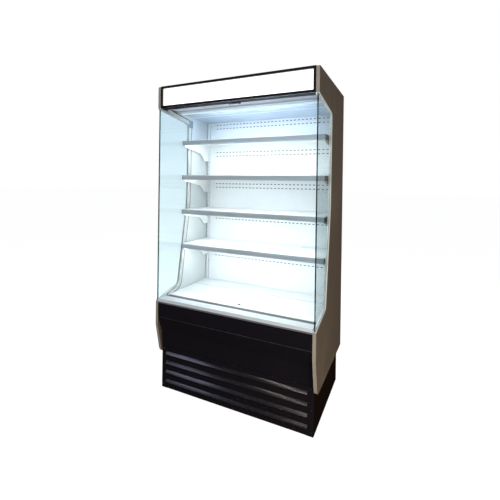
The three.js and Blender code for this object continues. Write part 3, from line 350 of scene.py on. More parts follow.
@dataclass(frozen=True)
class SheetPaint(Finish):
    """Powder coat or sprayed paint on sheet: orange peel, wiped film and floor scuffs."""

    worn: Colour
    worn_share: float = 0.3
    gloss_loss: float = 0.8
    specular: float = 0.5
    peel_size: float = 0.0035
    peel_depth: float = 0.00004
    peel_strength: float = 0.6
    film_size: float = 0.3
    film_cover: float = 0.55
    scuff_reach: float = 0.0
    scuff_share: float = 0.16

    def looks(self, wiring: Wiring) -> dict[str, object]:
        """Returns the peel as normal, and the film and scuffs as colour and gloss."""
        place = wiring.place()
        film = wiring.effect(Effect.FILM, Place=place, Size=self.film_size, Cover=self.film_cover)
        share = wiring.times(film[0], self.worn_share)
        if self.scuff_reach:
            scuff = wiring.effect(Effect.SCUFF, Place=place, Reach=self.scuff_reach)
            share = wiring.plus(share, wiring.times(scuff[0], self.scuff_share))
        peel = wiring.effect(Effect.PEEL, Place=place, Size=self.peel_size)
        return {
            "Specular IOR Level": self.specular,
            "Base Color": wiring.blend(share, self.colour, self.worn),
            "Roughness": wiring.plus(wiring.times(share, self.gloss_loss), self.roughness),
            "Normal": wiring.bump(peel[0], self.peel_strength, self.peel_depth),
        }


@dataclass(frozen=True)
class MouldedPlastic(Finish):
    """Moulded or extruded plastic with a fine grain and slightly cloudy colour."""

    cloudy: float = 0.1
    cloud_size: float = 0.2
    cloud_cover: float = 0.5
    gloss_loss: float = 0.12
    grain_size: float = 0.0012
    grain_depth: float = 0.00005
    grain_strength: float = 0.5

    def looks(self, wiring: Wiring) -> dict[str, object]:
        """Returns the grain as normal, and the clouding as colour and gloss."""
        place = wiring.place()
        grain = wiring.effect(Effect.PEEL, Place=place, Size=self.grain_size)
        cloud = wiring.effect(
            Effect.FILM, Place=place, Size=self.cloud_size, Cover=self.cloud_cover
        )[0]
        return {
            "Base Color": wiring.blend(cloud, self.colour, dimmed(self.colour, 1 - self.cloudy)),
            "Roughness": wiring.plus(wiring.times(cloud, self.gloss_loss), self.roughness),
            "Normal": wiring.bump(grain[0], self.grain_strength, self.grain_depth),
        }


@dataclass(frozen=True)
class DrawnMetal(Finish):
    """Bare metal with drawn or brushed lines along x."""

    dull: float = 0.7
    dull_share: float = 0.5
    film_size: float = 0.12
    film_cover: float = 0.5
    gloss_loss: float = 0.2
    line_width: float = 0.0007
    line_depth: float = 0.00003
    line_strength: float = 0.5

    def looks(self, wiring: Wiring) -> dict[str, object]:
        """Returns the lines as colour and normal, and the film as gloss."""
        place = wiring.place()
        lines = wiring.effect(Effect.BRUSH, Place=place, Width=self.line_width)
        film = wiring.effect(Effect.FILM, Place=place, Size=self.film_size, Cover=self.film_cover)
        share = wiring.times(lines["Mask"], self.dull_share)
        return {
            "Metallic": 1.0,
            "Base Color": wiring.blend(share, self.colour, dimmed(self.colour, self.dull)),
            "Roughness": wiring.plus(wiring.times(film[0], self.gloss_loss), self.roughness),
            "Normal": wiring.bump(lines["Height"], self.line_strength, self.line_depth),
        }


@dataclass(frozen=True)
class PaneGlass(Finish):
    """Float glass seen through its faces, with deep green-blue polished edges."""

    edge: Colour = (0.01, 0.05, 0.06)
    top_tint: Colour = (0.93, 1.0, 1.0)
    index: float = 1.2
    tint_heights: Pair = (1.1, 1.95)
    middle: float = 542.5 * MM
    face_reach: float = 2.7 * MM
    face_blur: float = 0.1 * MM
    front: float = -380 * MM
    front_band: float = 7 * MM
    band_blur: float = 0.5 * MM
    film_size: float = 0.4
    film_cover: float = 0.4
    film_haze: float = 0.03

    def looks(self, wiring: Wiring) -> dict[str, object]:
        """Tints the edges and the upper part, and leaves a faint film on the faces."""
        place = wiring.place()
        x, y, height = wiring.axes(place)
        off_middle = wiring.calc("SUBTRACT", wiring.calc("ABSOLUTE", x), self.middle)
        depth = wiring.calc("ABSOLUTE", off_middle)
        on_face = wiring.between(depth, self.face_reach, self.face_reach + self.face_blur)
        inner = self.front + self.front_band
        clear = wiring.times(on_face, wiring.between(y, inner, inner + self.band_blur))
        upper = wiring.between(height, *self.tint_heights)
        tint = wiring.blend(upper, self.colour, self.top_tint)
        film = wiring.effect(Effect.FILM, Place=place, Size=self.film_size, Cover=self.film_cover)
        return {
            "Transmission Weight": 1.0,
            "IOR": self.index,
            "Base Color": wiring.blend(clear, self.edge, tint),
            "Roughness": wiring.times(film[0], self.film_haze),
        }


@dataclass(frozen=True)
class LampLens(Finish):
    """Diffuser over a row of light-emitting diodes; the same glow also paints highlights on the
    canopy that are no lamps.
    """

    glow: Colour = (0.9, 0.97, 1.0)
    strength: float = 3.0
    diode_pitch: float = 0.0167
    diode_share: float = 0.25
    diode_edge: float = -0.6

    def looks(self, wiring: Wiring) -> dict[str, object]:
        """Brightens the lens over each diode."""
        turn = wiring.times(wiring.axes(wiring.place())[0], FULL_TURN / self.diode_pitch)
        spot = wiring.between(wiring.calc("SINE", turn), self.diode_edge, 1.0)
        glow = wiring.blend(spot, dimmed(self.glow, 1 - self.diode_share), self.glow)
        return {"Emission Strength": self.strength, "Emission Color": glow}


@dataclass(frozen=True)
class LitSign(Finish):
    """Blank white sign lit from behind, a little dimmer towards its ends."""

    glow: Colour = (1.0, 1.0, 1.0)
    strength: float = 1.4
    dim: float = 0.75
    fade_from: float = 0.3675
    fade_to: float = 0.55125
    fade_share: float = 0.4
    cloud_scale: float = 6.0
    cloud_share: float = 0.12

    def looks(self, wiring: Wiring) -> dict[str, object]:
        """Fades the light towards both ends, and clouds it a little."""
        place = wiring.place()
        x = wiring.calc("ABSOLUTE", wiring.axes(place)[0])
        fade = wiring.times(wiring.between(x, self.fade_from, self.fade_to), self.fade_share)
        clouds = wiring.times(wiring.noise(place, self.cloud_scale), self.cloud_share)
        share = wiring.plus(fade, clouds)
        glow = wiring.blend(share, self.glow, dimmed(self.glow, self.dim))
        return {"Emission Strength": self.strength, "Emission Color": glow}


@dataclass(frozen=True)
class CurtainCloth(Finish):
    """Coated plain-woven cloth of the night curtain, on UV metres."""

    thread_pitch: float = 0.0014
    thread_depth: float = 0.0002
    thread_strength: float = 0.7
    between_threads: float = 0.78
    sheen: float = 0.3

    def looks(self, wiring: Wiring) -> dict[str, object]:
        """Returns the weave as colour and normal, and the cloth's sheen."""
        weave = wiring.effect(Effect.WEAVE, Place=wiring.place("UV"), Pitch=self.thread_pitch)
        low = dimmed(self.colour, self.between_threads)
        return {
            "Sheen Weight": self.sheen,
            "Base Color": wiring.blend(weave["Mask"], low, self.colour),
            "Normal": wiring.bump(weave["Height"], self.thread_strength, self.thread_depth),
        }


@dataclass(frozen=True)
class Finishes:
    """Every finish of the fridge."""

    taupe: Finish = SheetPaint(
        "taupe_panel_paint", "panel_paint", (0.105, 0.083, 0.064), 0.5,
        worn=(0.16, 0.13, 0.1), worn_share=0.35, peel_size=0.004, film_size=0.5,
    )
    # Painted light: the end panels' forward-facing faces get this paler beige to show the light
    # that falls on them from the front.
    edge_beige: Finish = SheetPaint(
        "beige_edge_paint", "panel_paint", (0.41, 0.37, 0.32), 0.45,
        worn=(0.49, 0.45, 0.4), film_size=0.2,
    )
    tub_back: Finish = SheetPaint(
        "tub_back_paint", "tub_paint", (0.13, 0.11, 0.095), 0.5,
        worn=(0.2, 0.18, 0.16), film_size=0.5,
    )
    # Painted shade: the duct's back behind the slotted panel is painted near black as shade; the
    # dark joint across the tub's back uses it too.
    duct_dark: Finish = SheetPaint(
        "air_duct_lining", "tub_paint", (0.03, 0.034, 0.04), 0.6, worn=(0.05, 0.055, 0.06)
    )
    liner_white: Finish = SheetPaint(
        "liner_white_paint", "white_paint", (0.8, 0.84, 0.86), 0.32,
        worn=(0.62, 0.66, 0.68), worn_share=0.12,
    )
    # Painted shade: a darker copy of the liner white that paints shade on the side walls inside;
    # the sill top and the tub's well use it too.
    side_white: Finish = SheetPaint(
        "side_liner_paint", "white_paint", (0.56, 0.61, 0.615), 0.32,
        worn=(0.47, 0.52, 0.54), worn_share=0.2,
    )
    ceiling_white: Finish = SheetPaint(
        "ceiling_white_paint", "white_paint", (0.52, 0.6, 0.68), 0.22,
        worn=(0.48, 0.55, 0.62), worn_share=0.05, film_size=0.5,
    )
    shelf_white: Finish = SheetPaint(
        "shelf_white_paint", "white_paint", (0.82, 0.85, 0.86), 0.28,
        worn=(0.6, 0.63, 0.65), worn_share=0.15, film_size=0.15,
    )
    deck_white: Finish = SheetPaint(
        "deck_white_paint", "white_paint", (0.68, 0.71, 0.72), 0.3,
        worn=(0.56, 0.59, 0.6), worn_share=0.2, film_size=0.15,
    )
    gloss_black: Finish = SheetPaint(
        "gloss_black_paint", "black_paint", (0.0105, 0.0095, 0.0145), 0.17,
        worn=(0.03, 0.022, 0.018), worn_share=0.08, specular=0.35,
        peel_size=0.005, peel_depth=0.00005, film_size=0.4, scuff_reach=0.32,
    )
    # Painted highlight: the paler strip along the bumper's crease stands in for the light that the
    # bend catches.
    rubbed_black: Finish = SheetPaint(
        "rubbed_black_edge", "black_paint", (0.045, 0.042, 0.045), 0.3,
        worn=(0.11, 0.1, 0.1), worn_share=0.4, specular=0.35, film_size=0.05,
    )
    screw_black: Finish = SheetPaint(
        "screw_black_oxide", "black_paint", (0.03, 0.028, 0.028), 0.3,
        worn=(0.3, 0.28, 0.26), worn_share=0.35, film_size=0.02,
    )
    base_brown: Finish = SheetPaint(
        "base_brown_black_paint", "base_paint", (0.006, 0.0032, 0.002), 0.42,
        worn=(0.03, 0.019, 0.014), worn_share=0.04, specular=0.05, scuff_reach=0.1,
    )
    grille_grey: Finish = SheetPaint(
        "grille_grey_paint", "dark_grille", (0.2, 0.2, 0.205), 0.4,
        worn=(0.27, 0.27, 0.275), worn_share=0.25, film_size=0.1,
    )
    compressor_black: Finish = SheetPaint(
        "compressor_enamel", "compressor_black", (0.01, 0.01, 0.01), 0.22,
        worn=(0.08, 0.07, 0.06), film_size=0.08, peel_size=0.006,
    )
    trim_grey: Finish = MouldedPlastic(
        "trim_grey_plastic", "grey_plastic", (0.47, 0.5, 0.5), 0.38, cloudy=0.12
    )
    # Painted light: the trim's faces that do not face sideways get this paler copy of its grey.
    trim_pale: Finish = MouldedPlastic(
        "trim_channel_pale_plastic", "grey_plastic", (0.84, 0.9, 0.9), 0.38, cloudy=0.08
    )
    lip_grey: Finish = MouldedPlastic(
        "sill_lip_grey_plastic", "grey_plastic", (0.8, 0.88, 0.96), 0.35
    )
    # Painted shade: the foot of the sill's lip gets this dark grey as the shade under its rounded
    # edge.
    lip_shade: Finish = MouldedPlastic(
        "sill_lip_underside_grey", "grey_plastic", (0.16, 0.175, 0.2), 0.4, cloudy=0.15
    )
    outlet_white: Finish = MouldedPlastic(
        "outlet_white_plastic", "grey_plastic", (0.6, 0.64, 0.74), 0.4
    )
    canopy_grey: Finish = MouldedPlastic(
        "canopy_trim_grey_plastic", "grey_plastic", (0.44, 0.5, 0.51), 0.4
    )
    plate_grey: Finish = MouldedPlastic(
        "corner_plate_grey_plastic", "grey_plastic", (0.17, 0.24, 0.29), 0.4
    )
    # Painted shadow: the upright's strip by the wall gets this grey as the shadow in the corner;
    # the seam at the front of the rear deck pan uses it too.
    corner_grey: Finish = MouldedPlastic(
        "upright_shadow_grey", "grey_plastic", (0.4, 0.44, 0.46), 0.5, cloudy=0.2
    )
    gasket_pale: Finish = MouldedPlastic(
        "pale_glazing_gasket", "grey_plastic", (0.46, 0.5, 0.5), 0.5, cloudy=0.2
    )
    # A dark seal bead along the wall, made wide and near black so that it also paints the shadow in
    # the gap between trim and wall.
    gasket: Finish = MouldedPlastic(
        "glazing_gasket", "dark_plastic", (0.015, 0.022, 0.025), 0.5, cloudy=0.2
    )
    # Painted shade: the shelves' end caps are made long and dark to show the shade along the
    # shelves' sides.
    cap_grey: Finish = MouldedPlastic(
        "shelf_end_grey_plastic", "dark_plastic", (0.06, 0.075, 0.078), 0.4, cloudy=0.2
    )
    dark_plastic: Finish = MouldedPlastic(
        "dark_moulded_plastic", "dark_plastic", (0.02, 0.022, 0.025), 0.42, cloudy=0.25
    )
    rail_blue: Finish = MouldedPlastic(
        "rail_blue_grey_plastic", "rail_blue", (0.5, 0.59, 0.66), 0.34, cloudy=0.14
    )
    # Painted light: the pull bar's coat is near white so that the bar, shaded by the header, shows
    # the light it gets from below.
    bar_grey: Finish = MouldedPlastic(
        "curtain_bar_grey_coat", "aluminium", (0.86, 0.94, 1.0), 0.36, cloudy=0.12
    )
    handle_grey: Finish = MouldedPlastic(
        "curtain_handle_plastic", "aluminium", (0.55, 0.57, 0.66), 0.35, cloudy=0.15
    )
    aluminium: Finish = DrawnMetal("drawn_aluminium", "aluminium", (0.6, 0.61, 0.63), 0.32)
    galvanised: Finish = DrawnMetal(
        "galvanised_sheet", "galvanised", (0.5, 0.52, 0.53), 0.42, dull=0.75, line_width=0.006
    )
    fins: Finish = DrawnMetal("fin_aluminium", "fins", (0.62, 0.64, 0.65), 0.4, line_width=0.002)
    copper: Finish = DrawnMetal("copper_tube", "fins", (0.6, 0.27, 0.15), 0.3, dull=0.6)
    screw_steel: Finish = DrawnMetal("screw_steel", "galvanised", (0.4, 0.4, 0.41), 0.3)
    left_glass: Finish = PaneGlass(
        "left_pane_glass", "side_glass", (0.76, 0.95, 1.0), 0.0,
        top_tint=(0.6, 0.79, 0.89), index=1.5,
    )
    right_glass: Finish = PaneGlass("right_pane_glass", "side_glass", (0.93, 1.0, 1.0), 0.0)
    sign: Finish = LitSign("lit_blank_sign", "sign_white", (0.9, 0.9, 0.9), 0.3)
    lamp_white: Finish = LampLens("shelf_lamp_lens", "lamp_lens", (0.9, 0.95, 1.0), 0.3)
    lamp_cool: Finish = LampLens(
        "cool_lamp_lens", "lamp_lens", (0.9, 0.95, 1.0), 0.3,
        glow=(0.78, 0.92, 1.0), strength=2.0,
    )
    # The canopy lamp's lens; the glow it gives the canopy panel's lower front edge is a painted
    # highlight, no lamp.
    canopy_glow: Finish = LampLens(
        "canopy_lamp_lens", "lamp_lens", (0.3, 0.34, 0.38), 0.3,
        glow=(0.68, 0.87, 1.0), strength=0.66,
    )
    # Painted reflection: a glowing line on the ceiling stands in for the lamp's diodes mirrored
    # there; it is no lamp.
    ceiling_line: Finish = LampLens(
        "ceiling_line_lens", "white_paint", (0.52, 0.6, 0.68), 0.4,
        glow=(0.74, 0.88, 1.0), strength=0.16,
    )
    cloth: Finish = CurtainCloth("curtain_cloth_grey", "curtain_cloth", (0.5, 0.53, 0.55), 0.75)


FINISH = Finishes()


# ---------------------------------------------------------------- shaping
@dataclass(frozen=True)
class Room:
    """The box that a CAD node fills at rest."""

    low: Vector
    high: Vector

    @classmethod
    def of(cls, node: str) -> "Room":
        """Returns a node's room."""
        return cls(*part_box(node))

    @property
    def middle(self) -> Vector:
        """The centre of the box."""
        return (self.low + self.high) / 2

    @property
    def size(self) -> Vector:
        """The lengths of the box."""
        return self.high - self.low


def body_of(node: str) -> str:
    """Returns the body that a CAD node rides on."""
    return frame["nodes"][node]["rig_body"]


def placed(name: str, data: bpy.types.ID) -> Object:
    """Adds an object to the scene, at the origin."""
    made = bpy.data.objects.new(name, data)
    bpy.context.scene.collection.objects.link(made)
    return made


def mesh_of(name: str, bm: BMesh, *finishes: Finish) -> bpy.types.Mesh:
    """Turns a shape into a mesh with its materials, and frees the shape."""
    mesh = bpy.data.meshes.new(name)
    bm.to_mesh(mesh)
    bm.free()
    for finish in finishes:
        mesh.materials.append(finish.material())
    return mesh


def add_piece(
    name: str,
    bm: BMesh,
    finishes: Sequence[Finish],
    body: str = CABINET,
    *,
    ease: float = 0.0,
    angle: float = 32.0,
    stands_for: Sequence[str] = (),
) -> Object:
    """Turns a shape into a finished piece that rides on a body.

    Args:
        name: The piece's name.
        bm: Its shape, which is freed.
        finishes: Its finishes, in the order of the faces' material numbers.
        body: The body that carries it.
        ease: Width of the rounding on its sharp edges, or 0 for none.
        angle: Edges sharper than this, in degrees, are kept sharp or rounded.
        stands_for: CAD nodes that it replaces.

    Returns:
        The piece.
    """
    mesh = mesh_of(name, bm, *finishes)
    mesh.polygons.foreach_set("use_smooth", [True] * len(mesh.polygons))
    mesh.set_sharp_from_angle(angle=math.radians(angle))
    piece = placed(name, mesh)
    if ease:
        rounding = piece.modifiers.new("eased_edges", "BEVEL")
        rounding.width = ease
        rounding.segments = 2
        rounding.limit_method = "ANGLE"
        rounding.angle_limit = math.radians(angle)
        rounding.harden_normals = True
    if stands_for:
        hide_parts(*stands_for)
    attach(piece, body)
    LOG.info("%s on %s: %d faces", name, body, len(mesh.polygons))
    return piece


def merged_copy(node: str) -> BMesh:
    """Starts a shape from a CAD node's, its loose triangles joined into whole faces."""
    bm = bmesh.new()
    bm.from_mesh(frame["nodes"][node].data)
    bmesh.ops.remove_doubles(bm, verts=bm.verts, dist=WELD)
    bmesh.ops.dissolve_limit(bm, angle_limit=FLAT, verts=bm.verts, edges=bm.edges)
    for face in bm.faces:
        face.material_index = 0
    return bm


def plane(axis: Point, at: float) -> tuple[Point, Point]:
    """Returns the plane across an axis at a distance from the origin, as point and normal."""
    return tuple(at * part for part in axis), axis


def cut(bm: BMesh, point: Point, normal: Point) -> None:
    """Splits every face that a plane crosses."""
    geometry = [*bm.verts, *bm.edges, *bm.faces]
    bmesh.ops.bisect_plane(bm, geom=geometry, plane_co=point, plane_no=normal)


def form(
    node: str,
    *finishes: Finish,
    ease: float,
    paint: Callable[[BMFace], int] | None = None,
    cuts: Iterable[tuple[Point, Point]] = (),
) -> Object:
    """Replaces a CAD node by its own shape with eased edges and its finishes.

    Args:
        node: The CAD node.
        *finishes: Its finishes.
        ease: Width of the rounding on its edges.
        paint: Gives each face the number of its finish.
        cuts: Planes, each a point and a normal, that split faces between finishes.

    Returns:
        The piece.
    """
    bm = merged_copy(node)
    for point, normal in cuts:
        cut(bm, point, normal)
    if paint:
        for face in bm.faces:
            face.material_index = paint(face)
    return add_piece(f"{node}_formed", bm, finishes, body_of(node), ease=ease, stands_for=[node])


def recoat(node: str, finish: Finish) -> None:
    """Gives a CAD node that stays as it is its finish."""
    mesh = frame["nodes"][node].data
    mesh.materials.clear()
    mesh.materials.append(finish.material())
    LOG.info("%s keeps its CAD shape, in %s", node, finish.name)


def verts_of(parts: Iterable[object]) -> list[BMVert]:
    """Returns the vertices among what an operator made."""
    return [part for part in parts if isinstance(part, BMVert)]


def box_between(bm: BMesh, low: Iterable[float], high: Iterable[float]) -> None:
    """Adds a box from its lowest and highest corner."""
    low, high = Vector(low), Vector(high)
    verts = bmesh.ops.create_cube(bm, size=1.0)["verts"]
    bmesh.ops.scale(bm, vec=high - low, verts=verts)
    bmesh.ops.translate(bm, vec=(high + low) / 2, verts=verts)


def side_box(
    bm: BMesh, hand: Hand, reach: Pair, low: Iterable[float], high: Iterable[float]
) -> None:
    """Adds a box on one side of the case.

    Args:
        bm: The shape.
        hand: The side.
        reach: Its two distances from the middle plane.
        low: Its lowest y and z.
        high: Its highest y and z.
    """
    near, far = sorted(hand.value * distance for distance in reach)
    box_between(bm, (near, *low), (far, *high))


def scaled(shares: Iterable[Pair], radius: float, height: float) -> list[Pair]:
    """Returns a turned profile from its shares of a radius and a height."""
    return [(across * radius, along * height) for across, along in shares]


def turned(
    bm: BMesh, profile: Sequence[Pair], centre: Iterable[float], axis: Point, steps: int
) -> None:
    """Spins a profile of (radius, distance along the axis) points round an axis."""
    centre, axis = Vector(centre), Vector(axis)
    out = axis.orthogonal().normalized()
    verts = [bm.verts.new(centre + out * radius + axis * along) for radius, along in profile]
    edges = [bm.edges.new(pair) for pair in zip(verts, verts[1:])]
    bmesh.ops.spin(
        bm, geom=[*verts, *edges], cent=centre, axis=axis, angle=FULL_TURN, steps=steps,
        use_merge=True,
    )
    bmesh.ops.remove_doubles(bm, verts=bm.verts, dist=WELD)
    bmesh.ops.recalc_face_normals(bm, faces=bm.faces)


def perforated(
    bm: BMesh, low: Pair, high: Pair, slots: tuple[Sequence[float], Sequence[float]], slot: Pair
) -> None:
    """Adds a flat sheet in the xy plane with rows of slots cut out.

    Args:
        bm: The shape.
        low: The sheet's low corner.
        high: Its high corner.
        slots: The slots' middles along x and along y.
        slot: A slot's size along x and y.
    """
    verts = bmesh.ops.create_grid(bm, x_segments=1, y_segments=1, size=0.5)["verts"]
    size = (high[0] - low[0], high[1] - low[1], 1.0)
    bmesh.ops.scale(bm, vec=size, verts=verts)
    middle = ((high[0] + low[0]) / 2, (high[1] + low[1]) / 2, 0.0)
    bmesh.ops.translate(bm, vec=middle, verts=verts)
    for axis, middles in enumerate(slots):
        normal = Vector((RIGHT, REAR)[axis])
        for value in middles:
            for side in (-0.5, 0.5):
                cut(bm, normal * (value + side * slot[axis]), normal)

    def in_slot(face: BMFace) -> bool:
        """True if a cell of the grid is a slot."""
        centre = face.calc_center_median()
        return all(
            any(abs(centre[axis] - value) < slot[axis] / 2 for value in slots[axis])
            for axis in (0, 1)
        )

    holes = [face for face in bm.faces if in_slot(face)]
    bmesh.ops.delete(bm, geom=holes, context="FACES")


def thicken(bm: BMesh, thickness: float, axis: int, top: float) -> None:
    """Gives a flat sheet its thickness, its upper side at a place along an axis.

    Args:
        bm: The shape.
        thickness: The sheet's thickness.
        axis: The axis across the sheet, by number.
        top: Where its upper side lies on that axis.
    """
    bmesh.ops.recalc_face_normals(bm, faces=bm.faces)
    bmesh.ops.solidify(bm, geom=bm.faces, thickness=thickness)
    shift = Vector()
    shift[axis] = top - max(vert.co[axis] for vert in bm.verts)
    bmesh.ops.translate(bm, verts=bm.verts, vec=shift)
    bmesh.ops.recalc_face_normals(bm, faces=bm.faces)


def evenly(count: int, pitch: float, middle: float = 0.0) -> list[float]:
    """Returns places a pitch apart about a middle."""
    return [middle + (i - (count - 1) / 2) * pitch for i in range(count)]


# ---------------------------------------------------------------- fasteners
@dataclass(frozen=True)
class ScrewSet:
    """Pan-head screws of the cabinet that share a size, a finish and the way they face."""

    name: str
    places: Sequence[Point]
    facing: Point
    finish: Finish = FINISH.screw_steel
    radius: float = 3.6 * MM
    height: float = 1.7 * MM
    head: tuple[Pair, ...] = (
        (0.98, 0.0), (1.0, 0.25), (0.9, 0.7), (0.62, 0.97), (0.36, 1.0), (0.34, 0.5), (0.0, 0.45),
    )

    def build(self) -> None:
        """Makes the heads as one piece, each with a socket in its crown."""
        bm = bmesh.new()
        profile = scaled(self.head, self.radius, self.height)
        for place in self.places:
            crown = bmesh.new()
            turned(crown, profile, place, self.facing, steps=10)
            mesh = mesh_of("screw_head", crown)
            bm.from_mesh(mesh)
            bpy.data.meshes.remove(mesh)
        bmesh.ops.holes_fill(bm, edges=bm.edges)
        bmesh.ops.recalc_face_normals(bm, faces=bm.faces)
        add_piece(self.name, bm, [self.finish], angle=50.0)


# ---------------------------------------------------------------- sub-assemblies
@dataclass
class EndPanel:
    """One end panel: painted outside, front edge painted paler as lit, liner inside painted a
    darker white as shade, glass and trim.
    """

    hand: Hand
    edge_radius: float = 3.2 * MM
    liner_from: float = 606 * MM
    well_from: float = 449 * MM
    well_front: float = -340 * MM
    liner_to: float = 1937 * MM
    # faces that face forward more than this get the paler paint, as painted light from the front
    front_facing: float = 0.55
    trim_ease: float = 0.7 * MM
    gasket_width: float = 6.5 * MM
    opening_middle: Pair = (-0.23, 1.28)
    upright_shadow: float = 523.5 * MM
    plate_corner: Pair = (0.012, 1.909)
    plate_size: Point = (2 * MM, 50 * MM, 56 * MM)
    plate_lap: float = 0.05 * MM
    plate_foot: float = 2.3 * MM
    lap_edge: float = 1.5 * MM

    def build(self) -> None:
        """Makes the panel, coats the glass, and forms the trim and the slotted upright, whose strip
        by the wall is painted grey as the corner's shadow.
        """
        word = self.hand.word
        form(
            f"{word}_end_panel", FINISH.taupe, FINISH.edge_beige, FINISH.side_white,
            ease=self.edge_radius, paint=self.finish_of,
            cuts=[
                *(plane(UP, z) for z in (self.well_from, self.liner_from, self.liner_to)),
                plane(REAR, self.well_front),
            ],
        )
        pane = FINISH.left_glass if self.hand is Hand.LEFT else FINISH.right_glass
        recoat(f"{word}_side_glass", pane)
        self.trim(f"{word}_glass_trim")
        # the upright's strip by the wall is painted grey as the shadow in the corner
        form(
            f"{word}_upright", FINISH.liner_white, FINISH.corner_grey, ease=0.5 * MM,
            paint=lambda face: int(abs(face.calc_center_median().x) > self.upright_shadow),
            cuts=[plane(RIGHT, self.hand.value * self.upright_shadow)],
        )

    def finish_of(self, face: BMFace) -> int:
        """Returns 1 for the front edge, painted paler as lit, 2 for the inside, painted a darker
        white as shade, and 0 for the rest.
        """
        centre = face.calc_center_median()
        inward = face.normal.x * self.hand.value < -SQUARE_ON
        if inward and self.well_from < centre.z < self.liner_to:
            if centre.z > self.liner_from or centre.y > self.well_front:
                return 2
        return int(face.normal.y < -self.front_facing)

    def trim(self, node: str) -> None:
        """Forms the glass trim, with a gasket line along both edges of its inner band; the line
        along the wall is also painted shadow in the gap, and the faces that do not face sideways
        are painted paler as lit.
        """
        bm = merged_copy(node)
        inner = [face for face in bm.faces if face.normal.x * self.hand.value < -SQUARE_ON]
        band = max(inner, key=lambda face: face.calc_area())
        rim = bmesh.ops.inset_region(
            bm, faces=[band], thickness=self.gasket_width, use_even_offset=True
        )["faces"]
        for face in rim:
            face.material_index = 1 if self.beside_wall(face, {band, *rim}) else 2
        for face in bm.faces:
            if abs(face.normal.x) < LEANING:
                face.material_index = 3
        finishes = [FINISH.trim_grey, FINISH.gasket, FINISH.gasket_pale, FINISH.trim_pale]
        add_piece(f"{node}_formed", bm, finishes, ease=self.trim_ease, stands_for=[node])
        self.corner_plate(node)

    def beside_wall(self, face: BMFace, inner: set[BMFace]) -> bool:
        """Returns whether a gasket face lies along the wall and not along the glass.

        Args:
            face: A face of the gasket ring.
            inner: The faces of the ring and of the band that it surrounds.

        Returns:
            True beside the wall.
        """
        centre = face.calc_center_median()
        border = [edge for edge in face.edges if not inner.issuperset(edge.link_faces)]
        edge = max(border, key=lambda found: found.calc_length())
        outward = (edge.verts[0].co + edge.verts[1].co) / 2 - centre
        y, z = self.opening_middle
        return outward.y * (centre.y - y) + outward.z * (centre.z - z) > 0

    def corner_plate(self, node: str) -> None:
        """Makes the small plate that covers the mitre at the trim's upper rear corner."""
        deep, wide, tall = self.plate_size
        y, z = self.plate_corner
        room = Room.of(node)
        inside = min(abs(room.low.x), abs(room.high.x))
        face = inside - self.plate_lap
        bm = bmesh.new()
        side_box(bm, self.hand, (inside - deep, face), (y - wide, z - tall), (y, z))
        foot = (face, inside + self.plate_foot)
        side_box(bm, self.hand, foot, (self.lap_edge, z - tall), (y, z))
        add_piece(f"{node}_corner_plate", bm, [FINISH.plate_grey], ease=0.6 * MM)


@dataclass
class Header:
    """Black frame, lit blank sign, and the box and lamp behind it."""

    frame_ease: float = 1.4 * MM
    sign_ease: float = 0.5 * MM
    box_ease: float = 0.6 * MM
    screw_count: int = 5
    screw_pitch: float = 0.21
    screw_inset: float = 12 * MM
    screw_height: float = 0.45 * MM

    def build(self) -> None:
        """Forms the header's pieces and the screws that hold its box to the roof."""
        form("header_frame", FINISH.gloss_black, ease=self.frame_ease)
        form("header_sign", FINISH.sign, ease=self.sign_ease)
        form("header_box", FINISH.base_brown, ease=self.box_ease)
        form("header_lamp", FINISH.lamp_cool, ease=self.box_ease)
        top = Room.of("header_box").high
        xs = evenly(self.screw_count, self.screw_pitch)
        places = [(x, top.y - self.screw_inset, top.z) for x in xs]
        ScrewSet("header_box_screws", places, UP, height=self.screw_height).build()


